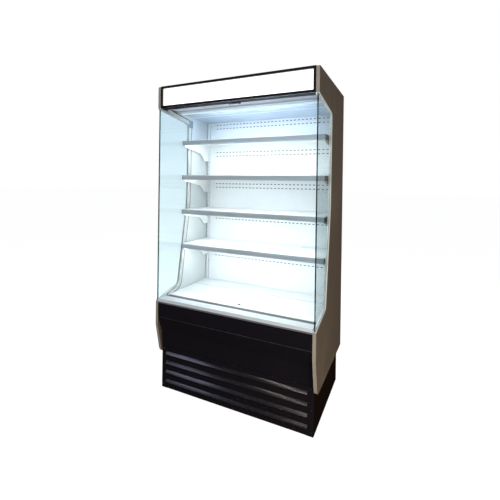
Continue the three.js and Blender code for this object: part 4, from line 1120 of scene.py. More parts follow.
@dataclass
class NightCurtain:
    """Cassette, roller tube, wound and free cloth, pull bar and handle."""

    cloth_length: float = 1400 * MM
    cloth_thickness: float = 0.3 * MM
    core_radius: float = 12 * MM
    pin_radius: float = 4 * MM
    pin_length: float = 3 * MM
    facets_per_turn: int = 14
    least_facets: int = 8
    least_layer: float = 0.2
    free_facets: tuple[int, int] = (16, 24)
    cap_length: float = 2.5 * MM
    lug_from: float = 31 * MM
    groove_heights: Pair = (1944.4 * MM, 1947.0 * MM)
    groove_depth: float = 1.2 * MM

    @property
    def drop(self) -> float:
        """The length of the cloth that hangs free at rest."""
        return Room.of("curtain_fabric").size.z

    def build(self) -> None:
        """Makes the curtain from its cassette to its handle."""
        form("curtain_cassette", FINISH.aluminium, ease=0.5 * MM)
        bar = self.pull_bar()
        form(
            "curtain_handle", FINISH.handle_grey, FINISH.dark_plastic, ease=1.7 * MM,
            paint=lambda face: int(abs(face.calc_center_median().x) > self.lug_from),
            cuts=[plane(RIGHT, side * self.lug_from) for side in (-1, 1)],
        )
        self.bar_caps()
        tube = self.roller_tube()
        wound = self.wound_cloth()
        free = self.free_cloth()
        width = 2 * Room.of("curtain_fabric").high.x
        on_roller = (width, self.cloth_length - self.drop)
        self.drop

    def pull_bar(self) -> Object:
        """Makes the pull bar in its near-white coat, which is painted light, with a groove along
        its front painted dark as the shade in it, and a paler lower edge.
        """
        bm = merged_copy("curtain_bar")
        low, high = self.groove_heights
        for z in (low, high):
            cut(bm, *plane(UP, z))
        for face in bm.faces:
            face.material_index = 2 if face.calc_center_median().z < low else 0
        front = [
            face for face in bm.faces
            if face.normal.y < -SQUARE_ON and low < face.calc_center_median().z < high
        ]
        made = bmesh.ops.extrude_face_region(bm, geom=front)["geom"]
        bmesh.ops.delete(bm, geom=front, context="FACES")
        bmesh.ops.translate(bm, verts=verts_of(made), vec=(0.0, self.groove_depth, 0.0))
        # the groove is painted dark plastic as the shade in it
        for face in (part for part in made if isinstance(part, BMFace)):
            face.material_index = 1
        bmesh.ops.recalc_face_normals(bm, faces=bm.faces)
        finishes = [FINISH.bar_grey, FINISH.dark_plastic, FINISH.outlet_white]
        return add_piece(
            "curtain_bar_formed", bm, finishes, "curtain", ease=0.4 * MM,
            stands_for=["curtain_bar"],
        )

    def bar_caps(self) -> None:
        """Makes the plastic caps on the two ends of the pull bar."""
        bar = Room.of("curtain_bar")
        bm = bmesh.new()
        for hand in Hand:
            reach = (bar.high.x, bar.high.x + self.cap_length)
            side_box(bm, hand, reach, bar.low.yz, bar.high.yz)
        add_piece("curtain_bar_caps", bm, [FINISH.dark_plastic], "curtain", ease=1 * MM)

    def roller_tube(self) -> Object:
        """Makes the roller tube with a step down to each end pin."""
        room = Room.of("curtain_roller")
        reach = room.high.x
        shoulder = reach - self.pin_length
        half = [(self.core_radius, shoulder), (self.pin_radius, shoulder), (self.pin_radius, reach)]
        right = [*half, (0.0, reach)]
        left = [(radius, -along) for radius, along in reversed(right)]
        bm = bmesh.new()
        turned(bm, [*left, *right], room.middle, RIGHT, steps=20)
        return add_piece(
            "curtain_roller_tube", bm, [FINISH.aluminium], "curtain_roll",
            stands_for=["curtain_roller"],
        )

    def wound_cloth(self) -> Object:
        """Makes the cloth on the roller, as one spiral that leaves the roll at its front."""
        width = Room.of("curtain_fabric").high.x * 2
        length = self.cloth_length - self.drop
        facets = self.facets(length)
        centre = Room.of("curtain_roller").middle
        bm = bmesh.new()
        uv = bm.loops.layers.uv.new("cloth_metres")
        bmesh.ops.create_grid(bm, x_segments=1, y_segments=facets, size=0.5)
        for vert in bm.verts:
            along = (vert.co.y + 0.5) * length
            angle, radius = self.spiral(length - along)
            y, z = -radius * math.cos(angle), radius * math.sin(angle)
            vert.co = Vector((vert.co.x * width, centre.y + y, centre.z + z))
            vert.normal_update()
        for loop in (loop for face in bm.faces for loop in face.loops):
            row = loop.vert.index // 2
            loop[uv].uv = (loop.vert.co.x, row * length / facets)
        return add_piece("curtain_wound_cloth", bm, [FINISH.cloth], "curtain_roll", angle=80.0)

    def radius_over(self, wound: float) -> float:
        """Returns the roll's radius over a length of wound cloth."""
        return math.sqrt(self.core_radius**2 + wound * self.cloth_thickness / math.pi)

    def facets(self, length: float) -> int:
        """Returns how many facets the whole spiral takes."""
        turns = (self.radius_over(length) - self.core_radius) / self.cloth_thickness
        return max(self.least_facets, round(turns * self.facets_per_turn))

    def spiral(self, rest: float) -> Pair:
        """Returns the angle and radius of the spiral where rest of the cloth is still inside."""
        least = self.core_radius + self.least_layer * self.cloth_thickness
        radius = max(self.radius_over(max(rest, 0.0)), least)
        whole = self.radius_over(self.cloth_length)
        return FULL_TURN * (radius - whole) / self.cloth_thickness, radius

    def free_cloth(self) -> Object:
        """Makes the cloth from the roller to the bar."""
        room = Room.of("curtain_fabric")
        across, down = self.free_facets
        bm = bmesh.new()
        uv = bm.loops.layers.uv.new("cloth_metres")
        bmesh.ops.create_grid(bm, x_segments=across, y_segments=down, size=0.5)
        for vert in bm.verts:
            x, y = vert.co.x + 0.5, vert.co.y + 0.5
            place = (room.low.x + x * room.size.x, room.middle.y, room.low.z + y * room.size.z)
            vert.co = Vector(place)
        for loop in (loop for face in bm.faces for loop in face.loops):
            loop[uv].uv = loop.vert.co.xz
        bmesh.ops.recalc_face_normals(bm, faces=bm.faces)
        piece = placed("curtain_free_cloth", mesh_of("curtain_free_cloth", bm, FINISH.cloth))
        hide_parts("curtain_fabric")
        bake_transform(piece)
        thickness = piece.modifiers.new("cloth_thickness", "SOLIDIFY")
        thickness.thickness = self.cloth_thickness
        thickness.offset = 0.0
        LOG.info("curtain_free_cloth blends from %s to curtain", CABINET)
        return piece


@dataclass
class AirOutlet:
    """Honeycomb that straightens the falling air curtain, in its channel."""

    cell: float = 11 * MM
    wall: float = 0.35 * MM
    channel: float = 1 * MM
    recess: float = 1.5 * MM

    def build(self) -> None:
        """Makes the channel and its hexagonal cells."""
        room = Room.of("air_honeycomb")
        low, high, t = room.low, room.high, self.channel
        bm = bmesh.new()
        box_between(bm, low, (high.x, low.y + t, high.z))
        box_between(bm, (low.x, high.y - t, low.z), high)
        box_between(bm, (low.x, low.y + t, low.z), (low.x + t, high.y - t, high.z))
        box_between(bm, (high.x - t, low.y + t, low.z), (high.x, high.y - t, high.z))
        add_piece(
            "air_outlet_channel", bm, [FINISH.outlet_white], ease=0.2 * MM,
            stands_for=["air_honeycomb"],
        )
        self.cells(room)

    def cells(self, room: Room) -> None:
        """Fills the channel with open hexagonal tubes."""
        radius = self.cell / math.sqrt(3) - self.wall / 2
        row_step = self.cell * math.sqrt(3) / 2
        inner = room.size - Vector((2 * self.channel, 2 * self.channel, 2 * self.recess))
        rows = int((inner.y - self.cell) / row_step) + 1
        columns = int((inner.x - 1.5 * self.cell) / self.cell) + 1
        bm = bmesh.new()
        ring = bmesh.ops.create_circle(bm, segments=6, radius=radius)["verts"]
        edges = list({edge for vert in ring for edge in vert.link_edges})
        made = bmesh.ops.extrude_edge_only(bm, edges=edges)["geom"]
        bmesh.ops.translate(bm, verts=verts_of(made), vec=(0.0, 0.0, inner.z))
        bmesh.ops.recalc_face_normals(bm, faces=bm.faces)
        tube = [*bm.verts, *bm.edges, *bm.faces]
        origin = Vector((0.0, room.middle.y, room.low.z + self.recess))
        for row, y in enumerate(evenly(rows, row_step)):
            shift = (row % 2 - 0.5) * self.cell / 2
            for x in evenly(columns, self.cell):
                verts = verts_of(bmesh.ops.duplicate(bm, geom=tube)["geom"])
                bmesh.ops.translate(bm, verts=verts, vec=origin + Vector((x + shift, y, 0.0)))
        bmesh.ops.delete(bm, geom=verts_of(tube))
        piece = add_piece("air_outlet_honeycomb", bm, [FINISH.outlet_white])
        wall = piece.modifiers.new("cell_wall", "SOLIDIFY")
        wall.thickness = self.wall
        wall.offset = 0.0


@dataclass
class LampStrip:
    """A lamp under a shelf or in the canopy: a housing with a lit lens and end caps."""

    node: str
    lens: Finish
    lens_share: float = 0.62
    top_facing: float = 0.8
    cap_length: float = 4 * MM

    def build(self) -> None:
        """Splits the lamp's section between housing and lens, and caps its ends."""
        room = Room.of(self.node)
        split = room.high.z - room.size.z * (1 - self.lens_share)

        def finish_of(face: BMFace) -> int:
            """Returns 1 for the lens, which is the lower part, and 0 for the housing."""
            below = face.calc_center_median().z < split and abs(face.normal.x) < LEANING
            return int(below and face.normal.z < self.top_facing)

        form(
            self.node, FINISH.trim_grey, self.lens, ease=0.5 * MM, paint=finish_of,
            cuts=[plane(UP, split)],
        )
        bm = bmesh.new()
        for hand in Hand:
            reach = (room.high.x, room.high.x + self.cap_length)
            side_box(bm, hand, reach, room.low.yz, room.high.yz)
        add_piece(f"{self.node}_caps", bm, [FINISH.trim_grey], body_of(self.node), ease=1.5 * MM)


@dataclass
class Canopy:
    """Ceiling panel with its front trim, its glowing lines that are painted highlights and no
    lamps, its lamp and its fixing screws.
    """

    trim_back: float = 151 * MM
    # Below this height the canopy's front face is painted glowing as a highlight; the line marks
    # where the ceiling is painted glowing as a reflection of the diodes.
    lit_height: float = 1934.5 * MM
    line: Pair = (5 * MM, 14 * MM)
    screw_count: int = 5
    screw_pitch: float = 0.235
    screw_inset: float = 24 * MM
    screw_height: float = 1939 * MM

    def finish_of(self, face: BMFace) -> int:
        """Returns 1 for the front trim, 2 for its lower edge painted glowing as a highlight, 3 for
        the line painted glowing as a reflection of the diodes, and else 0.
        """
        centre = face.calc_center_median()
        if face.normal.z < -SQUARE_ON and self.line[0] < centre.y < self.line[1]:
            return 3
        if face.normal.y < -SQUARE_ON and centre.z < self.lit_height:
            return 2
        return int(centre.y < -self.trim_back)

    def build(self) -> None:
        """Forms the ceiling and its lamp."""
        form(
            "canopy_panel", FINISH.ceiling_white, FINISH.canopy_grey, FINISH.canopy_glow,
            FINISH.ceiling_line, ease=0.8 * MM, paint=self.finish_of,
            cuts=[
                *(plane(REAR, y) for y in (-self.trim_back, *self.line)),
                plane(UP, self.lit_height),
            ],
        )
        LampStrip("canopy_lamp", FINISH.canopy_glow).build()
        y = Room.of("canopy_panel").low.y + self.screw_inset
        xs = evenly(self.screw_count, self.screw_pitch)
        ScrewSet("canopy_trim_screws", [(x, y, self.screw_height) for x in xs], DOWN).build()


@dataclass
class RearDuct:
    """Slotted air panel behind the shelves, with the ledge that carries the rear pan."""

    slot_pitch: float = 30 * MM
    slot_size: Pair = (16 * MM, 6 * MM)
    side_gap: float = 3.5 * MM
    thickness: float = 2 * MM
    side_margin: float = 14 * MM
    ledge_thickness: float = 2.5 * MM
    row_drops: Pair = (62 * MM, 92 * MM)
    other_rows: tuple[float, ...] = (1906 * MM, 1876 * MM, 860 * MM, 830 * MM)
    screw_inset: float = 9 * MM
    screw_heights: tuple[float, ...] = (1.9, 1.6, 1.35, 1.1, 0.78)

    def rows(self) -> list[float]:
        """Returns the heights of the slot rows."""
        tops = [Room.of(f"shelf_{number}_deck").high.z for number in range(1, SHELVES + 1)]
        return [*self.other_rows, *(top - drop for top in tops for drop in self.row_drops)]

    def build(self) -> None:
        """Makes the slotted sheet, its ledge and its screws."""
        room = Room.of("rear_duct_panel")
        low, high = room.low, room.high
        face_y = high.y - self.thickness
        columns = int(2 * (high.x - self.side_margin) / self.slot_pitch)
        bm = bmesh.new()
        perforated(
            bm, (low.x + self.side_gap, low.z), (high.x - self.side_gap, high.z),
            (evenly(columns, self.slot_pitch), self.rows()), self.slot_size,
        )
        upright = Matrix.Rotation(FULL_TURN / 4, 3, "X")
        bmesh.ops.rotate(bm, verts=bm.verts, cent=(0.0, 0.0, 0.0), matrix=upright)
        thicken(bm, self.thickness, 1, high.y)
        add_piece("rear_duct_sheet", bm, [FINISH.liner_white], stands_for=["rear_duct_panel"])
        ledge = bmesh.new()
        box_between(ledge, low, (high.x, face_y, low.z + self.ledge_thickness))
        add_piece("rear_duct_ledge", ledge, [FINISH.liner_white], ease=0.5 * MM)
        x = high.x - self.screw_inset
        places = [(side * x, face_y, z) for side in (-1, 1) for z in self.screw_heights]
        ScrewSet("rear_duct_screws", places, FRONT).build()


@dataclass
class DeckAndSill:
    """Deck pans, return air grille and the sill with its grey lip."""

    pan_ease: float = 0.7 * MM
    seam: float = 4 * MM
    # height of the lip's foot that is painted dark as shade
    lip_depth: float = 9 * MM
    lip_shade: float = 10 * MM
    grille_pitch: float = 9 * MM
    grille_slot: Pair = (4.6 * MM, 30 * MM)
    grille_depth: float = 43.7 * MM
    grille_margin: float = 10 * MM
    grille_sheet: float = 2 * MM

    def build(self) -> None:
        """Forms the deck, the grille and the sill."""
        rear, sill = Room.of("rear_deck_pan").low, Room.of("sill").low
        seam, lip, shade = rear.y + self.seam, sill.y + self.lip_depth, sill.z + self.lip_shade

        def sill_finish(face: BMFace) -> int:
            """Returns 1 for the grey lip in front, 2 for its foot painted dark as shade, and 0 for
            the top.
            """
            centre = face.calc_center_median()
            return 0 if centre.y > lip else 2 if centre.z < shade else 1

        form("front_deck_pan", FINISH.deck_white, ease=self.pan_ease)
        form(
            "rear_deck_pan", FINISH.deck_white, FINISH.corner_grey, ease=self.pan_ease,
            paint=lambda face: int(face.calc_center_median().y < seam), cuts=[plane(REAR, seam)],
        )
        form(
            "sill", FINISH.side_white, FINISH.lip_grey, FINISH.lip_shade,
            ease=0.8 * MM, paint=sill_finish, cuts=[plane(REAR, lip), plane(UP, shade)],
        )
        self.grille()

    def grille(self) -> None:
        """Makes the finely slotted grille on its folded rim."""
        room = Room.of("return_air_grille")
        low, high, t = room.low, room.high, self.grille_sheet
        front, rear, under = low.y, low.y + self.grille_depth, high.z - t
        count = int((room.size.x - 2 * self.grille_margin) / self.grille_pitch)
        bm = bmesh.new()
        perforated(
            bm, (low.x, front), (high.x, rear),
            (evenly(count, self.grille_pitch), [(front + rear) / 2]), self.grille_slot,
        )
        thicken(bm, t, 2, high.z)
        add_piece(
            "return_grille_slats", bm, [FINISH.grille_grey], stands_for=["return_air_grille"]
        )
        rim = bmesh.new()
        foot = low.z + self.grille_margin
        box_between(rim, (low.x, front, foot), (high.x, front + t, under))
        box_between(rim, (low.x, rear - t, low.z), (high.x, rear, under))
        box_between(rim, (low.x, rear, low.z), (high.x, high.y, low.z + t))
        add_piece("return_grille_rim", rim, [FINISH.grille_grey], ease=0.4 * MM)


@dataclass
class Shelf:
    """One tilting shelf: deck, brackets, price rail with its ends, and lamp."""

    number: int
    lens: Finish
    # the rail ends run this far back, dark, as painted shade along the shelf's side
    end_length: float = 100 * MM
    end_thickness: float = 2.2 * MM
    end_drop: float = 1 * MM

    def build(self) -> None:
        """Forms the shelf's pieces, and the dark grey caps that close its price rail, drawn long to
        paint the shade along the shelf's side.
        """
        name = f"shelf_{self.number}"
        form(f"{name}_deck", FINISH.shelf_white, ease=0.8 * MM)
        form(f"{name}_left_bracket", FINISH.shelf_white, ease=0.5 * MM)
        form(f"{name}_right_bracket", FINISH.shelf_white, ease=0.5 * MM)
        form(f"{name}_price_rail", FINISH.rail_blue, ease=0.5 * MM)
        LampStrip(f"{name}_lamp", self.lens).build()
        rail = Room.of(f"{name}_price_rail")
        top = Room.of(f"{name}_deck").high.z - self.end_drop
        bm = bmesh.new()
        for hand in Hand:
            reach = (rail.high.x, rail.high.x + self.end_thickness)
            side_box(bm, hand, reach, rail.low.yz, (rail.low.y + self.end_length, top))
        add_piece(f"{name}_rail_ends", bm, [FINISH.cap_grey], name, ease=0.9 * MM)


@dataclass
class FrontPanels:
    """Bumper, lower panel and louver panel, with their screws."""

    ease: float = 1 * MM
    # heights of the bumper's crease band that is painted paler as a highlight
    rubbed: Pair = (506.4 * MM, 509.6 * MM)
    lower_slope: float = math.atan2(12, 113)
    lower_inset: Pair = (12.4 * MM, 14 * MM)
    lower_screws: tuple[float, ...] = (-0.49, -0.21, 0.21, 0.49)
    louver_sheet: float = 2 * MM
    louver_screws: tuple[float, ...] = (-0.517, 0.517)
    louver_heights: tuple[float, ...] = (0.026, 0.15, 0.272)

    def bumper_finish(self, face: BMFace) -> int:
        """Returns 1 on the bumper's crease, painted paler as a highlight, and 0 elsewhere."""
        low, high = self.rubbed
        return int(low < face.calc_center_median().z < high and face.normal.y < -LEANING)

    def build(self) -> None:
        """Forms the black front."""
        form(
            "front_bumper_panel", FINISH.gloss_black, FINISH.rubbed_black, ease=self.ease,
            paint=self.bumper_finish, cuts=[plane(UP, z) for z in self.rubbed],
        )
        for node in ("lower_front_panel", "louver_panel"):
            form(node, FINISH.gloss_black, ease=self.ease)
        lower = Room.of("lower_front_panel").low.yz + Vector(self.lower_inset)
        facing = (0.0, -math.cos(self.lower_slope), -math.sin(self.lower_slope))
        places = [(x, *lower) for x in self.lower_screws]
        ScrewSet("lower_panel_screws", places, facing, FINISH.screw_black).build()
        face = Room.of("louver_panel").high.y - self.louver_sheet
        places = [(x, face, z) for x in self.louver_screws for z in self.louver_heights]
        ScrewSet("louver_panel_screws", places, FRONT, FINISH.screw_black).build()


@dataclass
class Base:
    """Base frame, rear grille and the back of the tub."""

    well: Pair = (449 * MM, 606 * MM)
    back_face: float = 300 * MM
    back_joint: Pair = (1245 * MM, 1248 * MM)
    floor_facing: float = 0.15
    back_screw_inset: Pair = (16 * MM, 30 * MM)
    back_screw_pitch: float = 0.3
    back_screw_count: int = 7
    back_screw_height: float = 0.3 * MM
    grille_screws: tuple[float, ...] = (-0.5, 0.0, 0.5)
    grille_heights: tuple[float, ...] = (0.045, 0.39)

    def tub_finish(self, face: BMFace) -> int:
        """Returns 1 for the duct's back, painted dark as shade, and the back's dark joint, 2 for
        the well in the darker liner white, else 0.
        """
        centre, normal = face.calc_center_median(), face.normal
        floor, top = self.well
        low, high = self.back_joint
        behind = centre.y > self.back_face
        if normal.y > LEANING and behind and low < centre.z < high:
            return 1
        at_back = normal.y < -LEANING and behind
        if at_back and centre.z > top:
            return 1
        at_front = normal.y > LEANING and centre.y < 0.0
        faces_in = normal.z > self.floor_facing or at_back or at_front
        return 2 if floor < centre.z < top and faces_in else 0

    def build(self) -> None:
        """Forms the base and the back."""
        form("base_frame", FINISH.base_brown, ease=1 * MM)
        form("rear_grille", FINISH.base_brown, ease=0.4 * MM)
        form(
            "insulated_tub", FINISH.tub_back, FINISH.duct_dark, FINISH.side_white,
            ease=1 * MM, paint=self.tub_finish,
            cuts=[plane(UP, z) for z in (self.well[1], *self.back_joint)],
        )
        tub = Room.of("insulated_tub")
        across, up = self.back_screw_inset
        x = tub.high.x - across
        heights = [
            tub.low.z + up + i * self.back_screw_pitch for i in range(self.back_screw_count)
        ]
        places = [(side * x, tub.high.y, z) for side in (-1, 1) for z in heights]
        ScrewSet("tub_back_screws", places, REAR, height=self.back_screw_height).build()
        y = Room.of("rear_grille").high.y
        places = [(x, y, z) for x in self.grille_screws for z in self.grille_heights]
        ScrewSet("rear_grille_screws", places, REAR).build()


@dataclass
class CopperTube:
    """Copper tube of the cabinet along one or more routes."""

    name: str
    radius: float
    roundness: int = 2
    order: int = 3
    steps: int = 8

    def build(self, routes: Iterable[Sequence[Point]], swept: bool = False) -> None:
        """Draws the tube.

        Args:
            routes: The points of each length of tube.
            swept: Whether the tube sweeps past its points, and does not run through them.
        """
        curve = bpy.data.curves.new(self.name, "CURVE")
        curve.dimensions = "3D"
        curve.bevel_depth = self.radius
        curve.bevel_resolution = self.roundness
        curve.use_fill_caps = True
        for route in routes:
            spline = curve.splines.new("NURBS" if swept else "POLY")
            spline.points.add(len(route) - 1)
            for point, place in zip(spline.points, route):
                point.co = (*place, 1.0)
            if swept:
                spline.order_u = self.order
                spline.use_endpoint_u = True
                spline.resolution_u = self.steps
        curve.materials.append(FINISH.copper.material())
        piece = placed(self.name, curve)
        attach(piece, CABINET)
        LOG.info("%s on %s", self.name, CABINET)


@dataclass
class FinnedCoil:
    """A heat exchanger: thin fins on rows of tube, end plates and copper return bends."""

    node: str
    fin_pitch: float
    tube_rows: int
    tube_levels: int
    bend_room: float
    tube_radius: float = 4.2 * MM
    fin_thickness: float = 0.4 * MM
    margin: float = 1 * MM
    plate: float = 1.5 * MM
    bend_steps: int = 8

    def build(self) -> None:
        """Makes fins, end plates and tubes in the coil's room."""
        room = Room.of(self.node)
        low, high = room.low, room.high
        right = high.x - self.bend_room
        bm = bmesh.new()
        half, inset = self.fin_thickness / 2, Vector((self.margin, self.margin))
        count = int((right - low.x - 2 * self.plate) / self.fin_pitch)
        for x in evenly(count, self.fin_pitch, (low.x + right) / 2):
            box_between(bm, (x - half, *(low.yz + inset)), (x + half, *(high.yz - inset)))
        add_piece(f"{self.node}_fins", bm, [FINISH.fins], stands_for=[self.node])
        plates = bmesh.new()
        for x in (low.x, right - self.plate):
            box_between(plates, (x, low.y, low.z), (x + self.plate, high.y, high.z))
        add_piece(f"{self.node}_end_plates", plates, [FINISH.galvanised], ease=0.3 * MM)
        self.bends(room, right - self.plate)

    def bends(self, room: Room, x: float) -> None:
        """Joins neighbouring tube levels with return bends that bulge to the right of x."""
        row_pitch = room.size.y / self.tube_rows
        level_pitch = room.size.z / self.tube_levels
        rise = level_pitch / 2
        bulge = min(rise, self.bend_room - self.tube_radius - self.margin)
        turns = [math.pi * (i / self.bend_steps - 0.5) for i in range(self.bend_steps + 1)]
        arc = [(x + bulge * math.cos(turn), rise * math.sin(turn)) for turn in turns]
        routes = []
        for row in range(self.tube_rows):
            y = room.low.y + (row + 0.5) * row_pitch
            for level in range(0, self.tube_levels - 1, 2):
                z = room.low.z + (level + 0.5) * level_pitch + rise
                routes.append([(out, y, z + up) for out, up in arc])
        CopperTube(f"{self.node}_bends", self.tube_radius).build(routes)


@dataclass
class FanWheel:
    """Axial fan wheel: a domed hub and pitched, twisted blades about the y axis.

    The blades run from a root inside the hub to a tip inside the ring. Their chord is a share of
    the wheel's radius, and swells and shrinks from root to tip.
    """

    node: str
    radius: float
    blades: int = 5
    blade_grid: tuple[int, int] = (6, 5)
    hub_share: float = 0.3
    hub: tuple[Pair, ...] = (
        (0.0, 0.0), (1.0, 0.0), (1.0, 0.8), (0.9, 0.94), (0.55, 0.99), (0.0, 1.0),
    )
    root_share: float = 0.92
    tip_share: float = 0.955
    chord_shares: Point = (0.3, 0.24, 0.62)
    lean: Pair = (0.3, 0.25)
    root_pitch: float = math.radians(38)
    tip_pitch: float = math.radians(20)
    thickness: float = 1.6 * MM

    def build(self) -> None:
        """Makes the wheel in the node's room."""
        room = Room.of(self.node)
        body = body_of(self.node)
        place = next(joint["pos_m"] for joint in frame["joints"] if joint["child"] == body)
        centre = Vector((place[0], room.high.y, place[2]))
        hub = self.radius * self.hub_share
        bm = bmesh.new()
        for number in range(self.blades):
            self.blade(bm, centre, room.size.y, hub, number * FULL_TURN / self.blades)
        turned(bm, scaled(self.hub, hub, room.size.y), centre, FRONT, steps=24)
        add_piece(
            f"{self.node}_wheel", bm, [FINISH.dark_plastic], body, ease=0.3 * MM,
            stands_for=[self.node],
        )

    def blade(self, bm: BMesh, centre: Vector, depth: float, hub: float, start: float) -> None:
        """Adds one blade, a bent sheet that twists from root to tip.

        Args:
            bm: The wheel's shape.
            centre: The middle of the hub's rear.
            depth: The wheel's depth.
            hub: The hub's radius.
            start: The blade's angle on the wheel.
        """
        root, tip = hub * self.root_share, self.radius * self.tip_share
        base, swell, phase = self.chord_shares
        lean_from, lean_share = self.lean
        limit = depth / 2 - self.thickness
        across, along = self.blade_grid
        grid = bmesh.ops.create_grid(bm, x_segments=across, y_segments=along, size=0.5)["verts"]
        for vert in grid:
            out = vert.co.x + 0.5
            reach = root + out * (tip - root)
            chord = vert.co.y * self.radius * (base + swell * math.sin(out * math.pi * phase))
            pitch = self.root_pitch + out * (self.tip_pitch - self.root_pitch)
            angle = start + chord * math.cos(pitch) / reach + (out - lean_from) * lean_share
            height = max(-limit, min(limit, chord * math.sin(pitch)))
            x, z = reach * math.cos(angle), reach * math.sin(angle)
            vert.co = centre + Vector((x, -depth / 2 - height, z))
        faces = list({face for vert in grid for face in vert.link_faces})
        bmesh.ops.recalc_face_normals(bm, faces=faces)
        bmesh.ops.solidify(bm, geom=faces, thickness=self.thickness)


@dataclass
class CompressorSet:
    """Welded compressor shell, feet, terminal cover and its copper lines.

    Places that grow with the shell are shares of its radius or height, and the rest are metres.
    """

    steps: int = 40
    line_radius: float = 4 * MM
    foot_share: float = 1.15
    sunk: float = 0.3 * MM
    bowl: tuple[Pair, ...] = ((0.0, 12 * MM), (0.6, 12 * MM), (0.86, 18 * MM), (0.95, 34 * MM))
    dome: tuple[Pair, ...] = (
        (0.965, 0.44), (1.0, 0.455), (1.0, 0.51), (0.965, 0.525),
        (0.95, 0.78), (0.84, 0.9), (0.58, 0.975), (0.25, 1.0), (0.0, 1.0),
    )
    plate_heights: Pair = (9 * MM, 12 * MM)
    plate_corner: float = 18 * MM
    foot: tuple[Pair, ...] = (
        (0.0, 0.0), (12.0, 0.0), (12.0, 3.0), (8.0, 4.5), (12.0, 6.0), (12.0, 8.7), (0.0, 8.7),
    )
    foot_places: Pair = (0.92, 0.8)
    cover_share: float = 0.86
    cover_half: float = 1 / 3
    cover_heights: Pair = (71 * MM, 129 * MM)
    under_tub: float = 398 * MM

    def build(self) -> None:
        """Makes the shell and what stands on its plate."""
        room = Room.of("compressor")
        radius = room.size.y / 2
        middle = Vector((room.low.x + radius * self.foot_share, room.middle.y, room.low.z))
        base = middle - Vector((0.0, 0.0, self.sunk))
        height = room.high.z - base.z
        bm = bmesh.new()
        profile = [*scaled(self.bowl, radius, 1.0), *scaled(self.dome, radius, height)]
        turned(bm, profile, base, UP, steps=self.steps)
        add_piece("compressor_shell", bm, [FINISH.compressor_black], stands_for=["compressor"])
        self.mounts(room, middle, radius)
        self.lines(base, radius, height)

    def mounts(self, room: Room, middle: Vector, radius: float) -> None:
        """Makes the foot plate with its rubber feet, and the terminal cover."""
        x, y, z = middle
        half = radius * self.foot_share
        plate = bmesh.new()
        low, high = (z + height for height in self.plate_heights)
        box_between(plate, (x - half, room.low.y, low), (x + half, room.high.y, high))
        upright = [
            edge for edge in plate.edges
            if abs(edge.verts[0].co.z - edge.verts[1].co.z) > (high - low) / 2
        ]
        bmesh.ops.bevel(
            plate, geom=upright, offset=self.plate_corner, segments=3, profile=0.5,
            affect="EDGES", material=-1,
        )
        add_piece("compressor_foot_plate", plate, [FINISH.galvanised], ease=0.4 * MM)
        feet = bmesh.new()
        across, along = (radius * share for share in self.foot_places)
        for sx in (-1, 1):
            for sy in (-1, 1):
                centre = (x + sx * across, y + sy * along, z)
                turned(feet, scaled(self.foot, MM, MM), centre, UP, steps=16)
        add_piece("compressor_rubber_feet", feet, [FINISH.dark_plastic])
        cover = bmesh.new()
        low, high = (z + height for height in self.cover_heights)
        left, half = x + radius * self.cover_share, radius * self.cover_half
        box_between(cover, (left, y - half, low), (room.high.x, y + half, high))
        add_piece("compressor_terminal_cover", cover, [FINISH.dark_plastic], ease=4 * MM)

    def lines(self, base: Vector, radius: float, height: float) -> None:
        """Makes the discharge line to the condenser and the suction line up to the tub."""
        coil = Room.of("condenser_coil")
        left, top = coil.low.x, coil.high.z

        def by_shell(across: float, along: float, up: float) -> Point:
            """Returns a place by shares of the shell's radius and height, along in mm."""
            return base.x + radius * across, base.y + along * MM, base.z + height * up

        discharge = [
            by_shell(0.8, -30, 0.62), by_shell(1.25, -45, 0.62), by_shell(1.6, -60, 0.75),
            (left - 70 * MM, coil.high.y + 30 * MM, top - 40 * MM),
            (left - 30 * MM, coil.middle.y, top - 25 * MM),
            (left + 1 * MM, coil.middle.y, top - 25 * MM),
        ]
        suction = [by_shell(-0.6, 30, 0.8), by_shell(-0.9, 50, 0.95), by_shell(-0.9, 60, 1.3)]
        suction.append((*suction[-1][:2], self.under_tub))
        for name, route in (("discharge_line", discharge), ("suction_line", suction)):
            CopperTube(name, self.line_radius, roundness=3).build([route], swept=True)


@dataclass
class Refrigeration:
    """Coils, fans, shroud, compressor and pan of the machine and of the tub."""

    def build(self) -> None:
        """Makes every refrigeration piece."""
        FinnedCoil("condenser_coil", 3.2 * MM, 3, 12, 29.5 * MM).build()
        FinnedCoil("evaporator_coil", 6 * MM, 4, 6, 10.5 * MM).build()
        form("condenser_fan_shroud", FINISH.galvanised, ease=0.5 * MM)
        form("evaporator_fan_plate", FINISH.galvanised, ease=0.5 * MM)
        form("condensate_pan", FINISH.dark_plastic, ease=0.8 * MM)
        FanWheel("condenser_fan", 120 * MM).build()
        for hand in Hand:
            FanWheel(f"{hand.word}_evaporator_fan", 60 * MM).build()
        CompressorSet().build()


# ---------------------------------------------------------------- studio
@dataclass(frozen=True)
class Softbox:
    """One area light: where it is, what it points at, its size, power and colour."""

    name: str
    place: Point
    aim: Point
    size: Pair
    power: float
    colour: Colour = (1.0, 1.0, 1.0)
    gloss_on: tuple[str, ...] = ()

    def build(self) -> None:
        """Adds the light, which no camera ray sees."""
        data = bpy.data.lights.new(self.name, "AREA")
        data.shape = "RECTANGLE"
        data.size, data.size_y = self.size
        data.energy = self.power
        data.color = self.colour
        light = placed(self.name, data)
        place = Vector(self.place)
        facing = (Vector(self.aim) - place).to_track_quat("-Z", "Y").to_matrix().to_4x4()
        light.matrix_world = Matrix.Translation(place) @ facing
        light.visible_camera = False
        light.visible_transmission = False
        light.visible_glossy = bool(self.gloss_on)
        light.visible_diffuse = not self.gloss_on
        if self.gloss_on:
            lit = bpy.data.collections.new(f"{self.name}_lit")
            for name in self.gloss_on:
                lit.objects.link(bpy.data.objects[name])
            light.light_linking.receiver_collection = lit


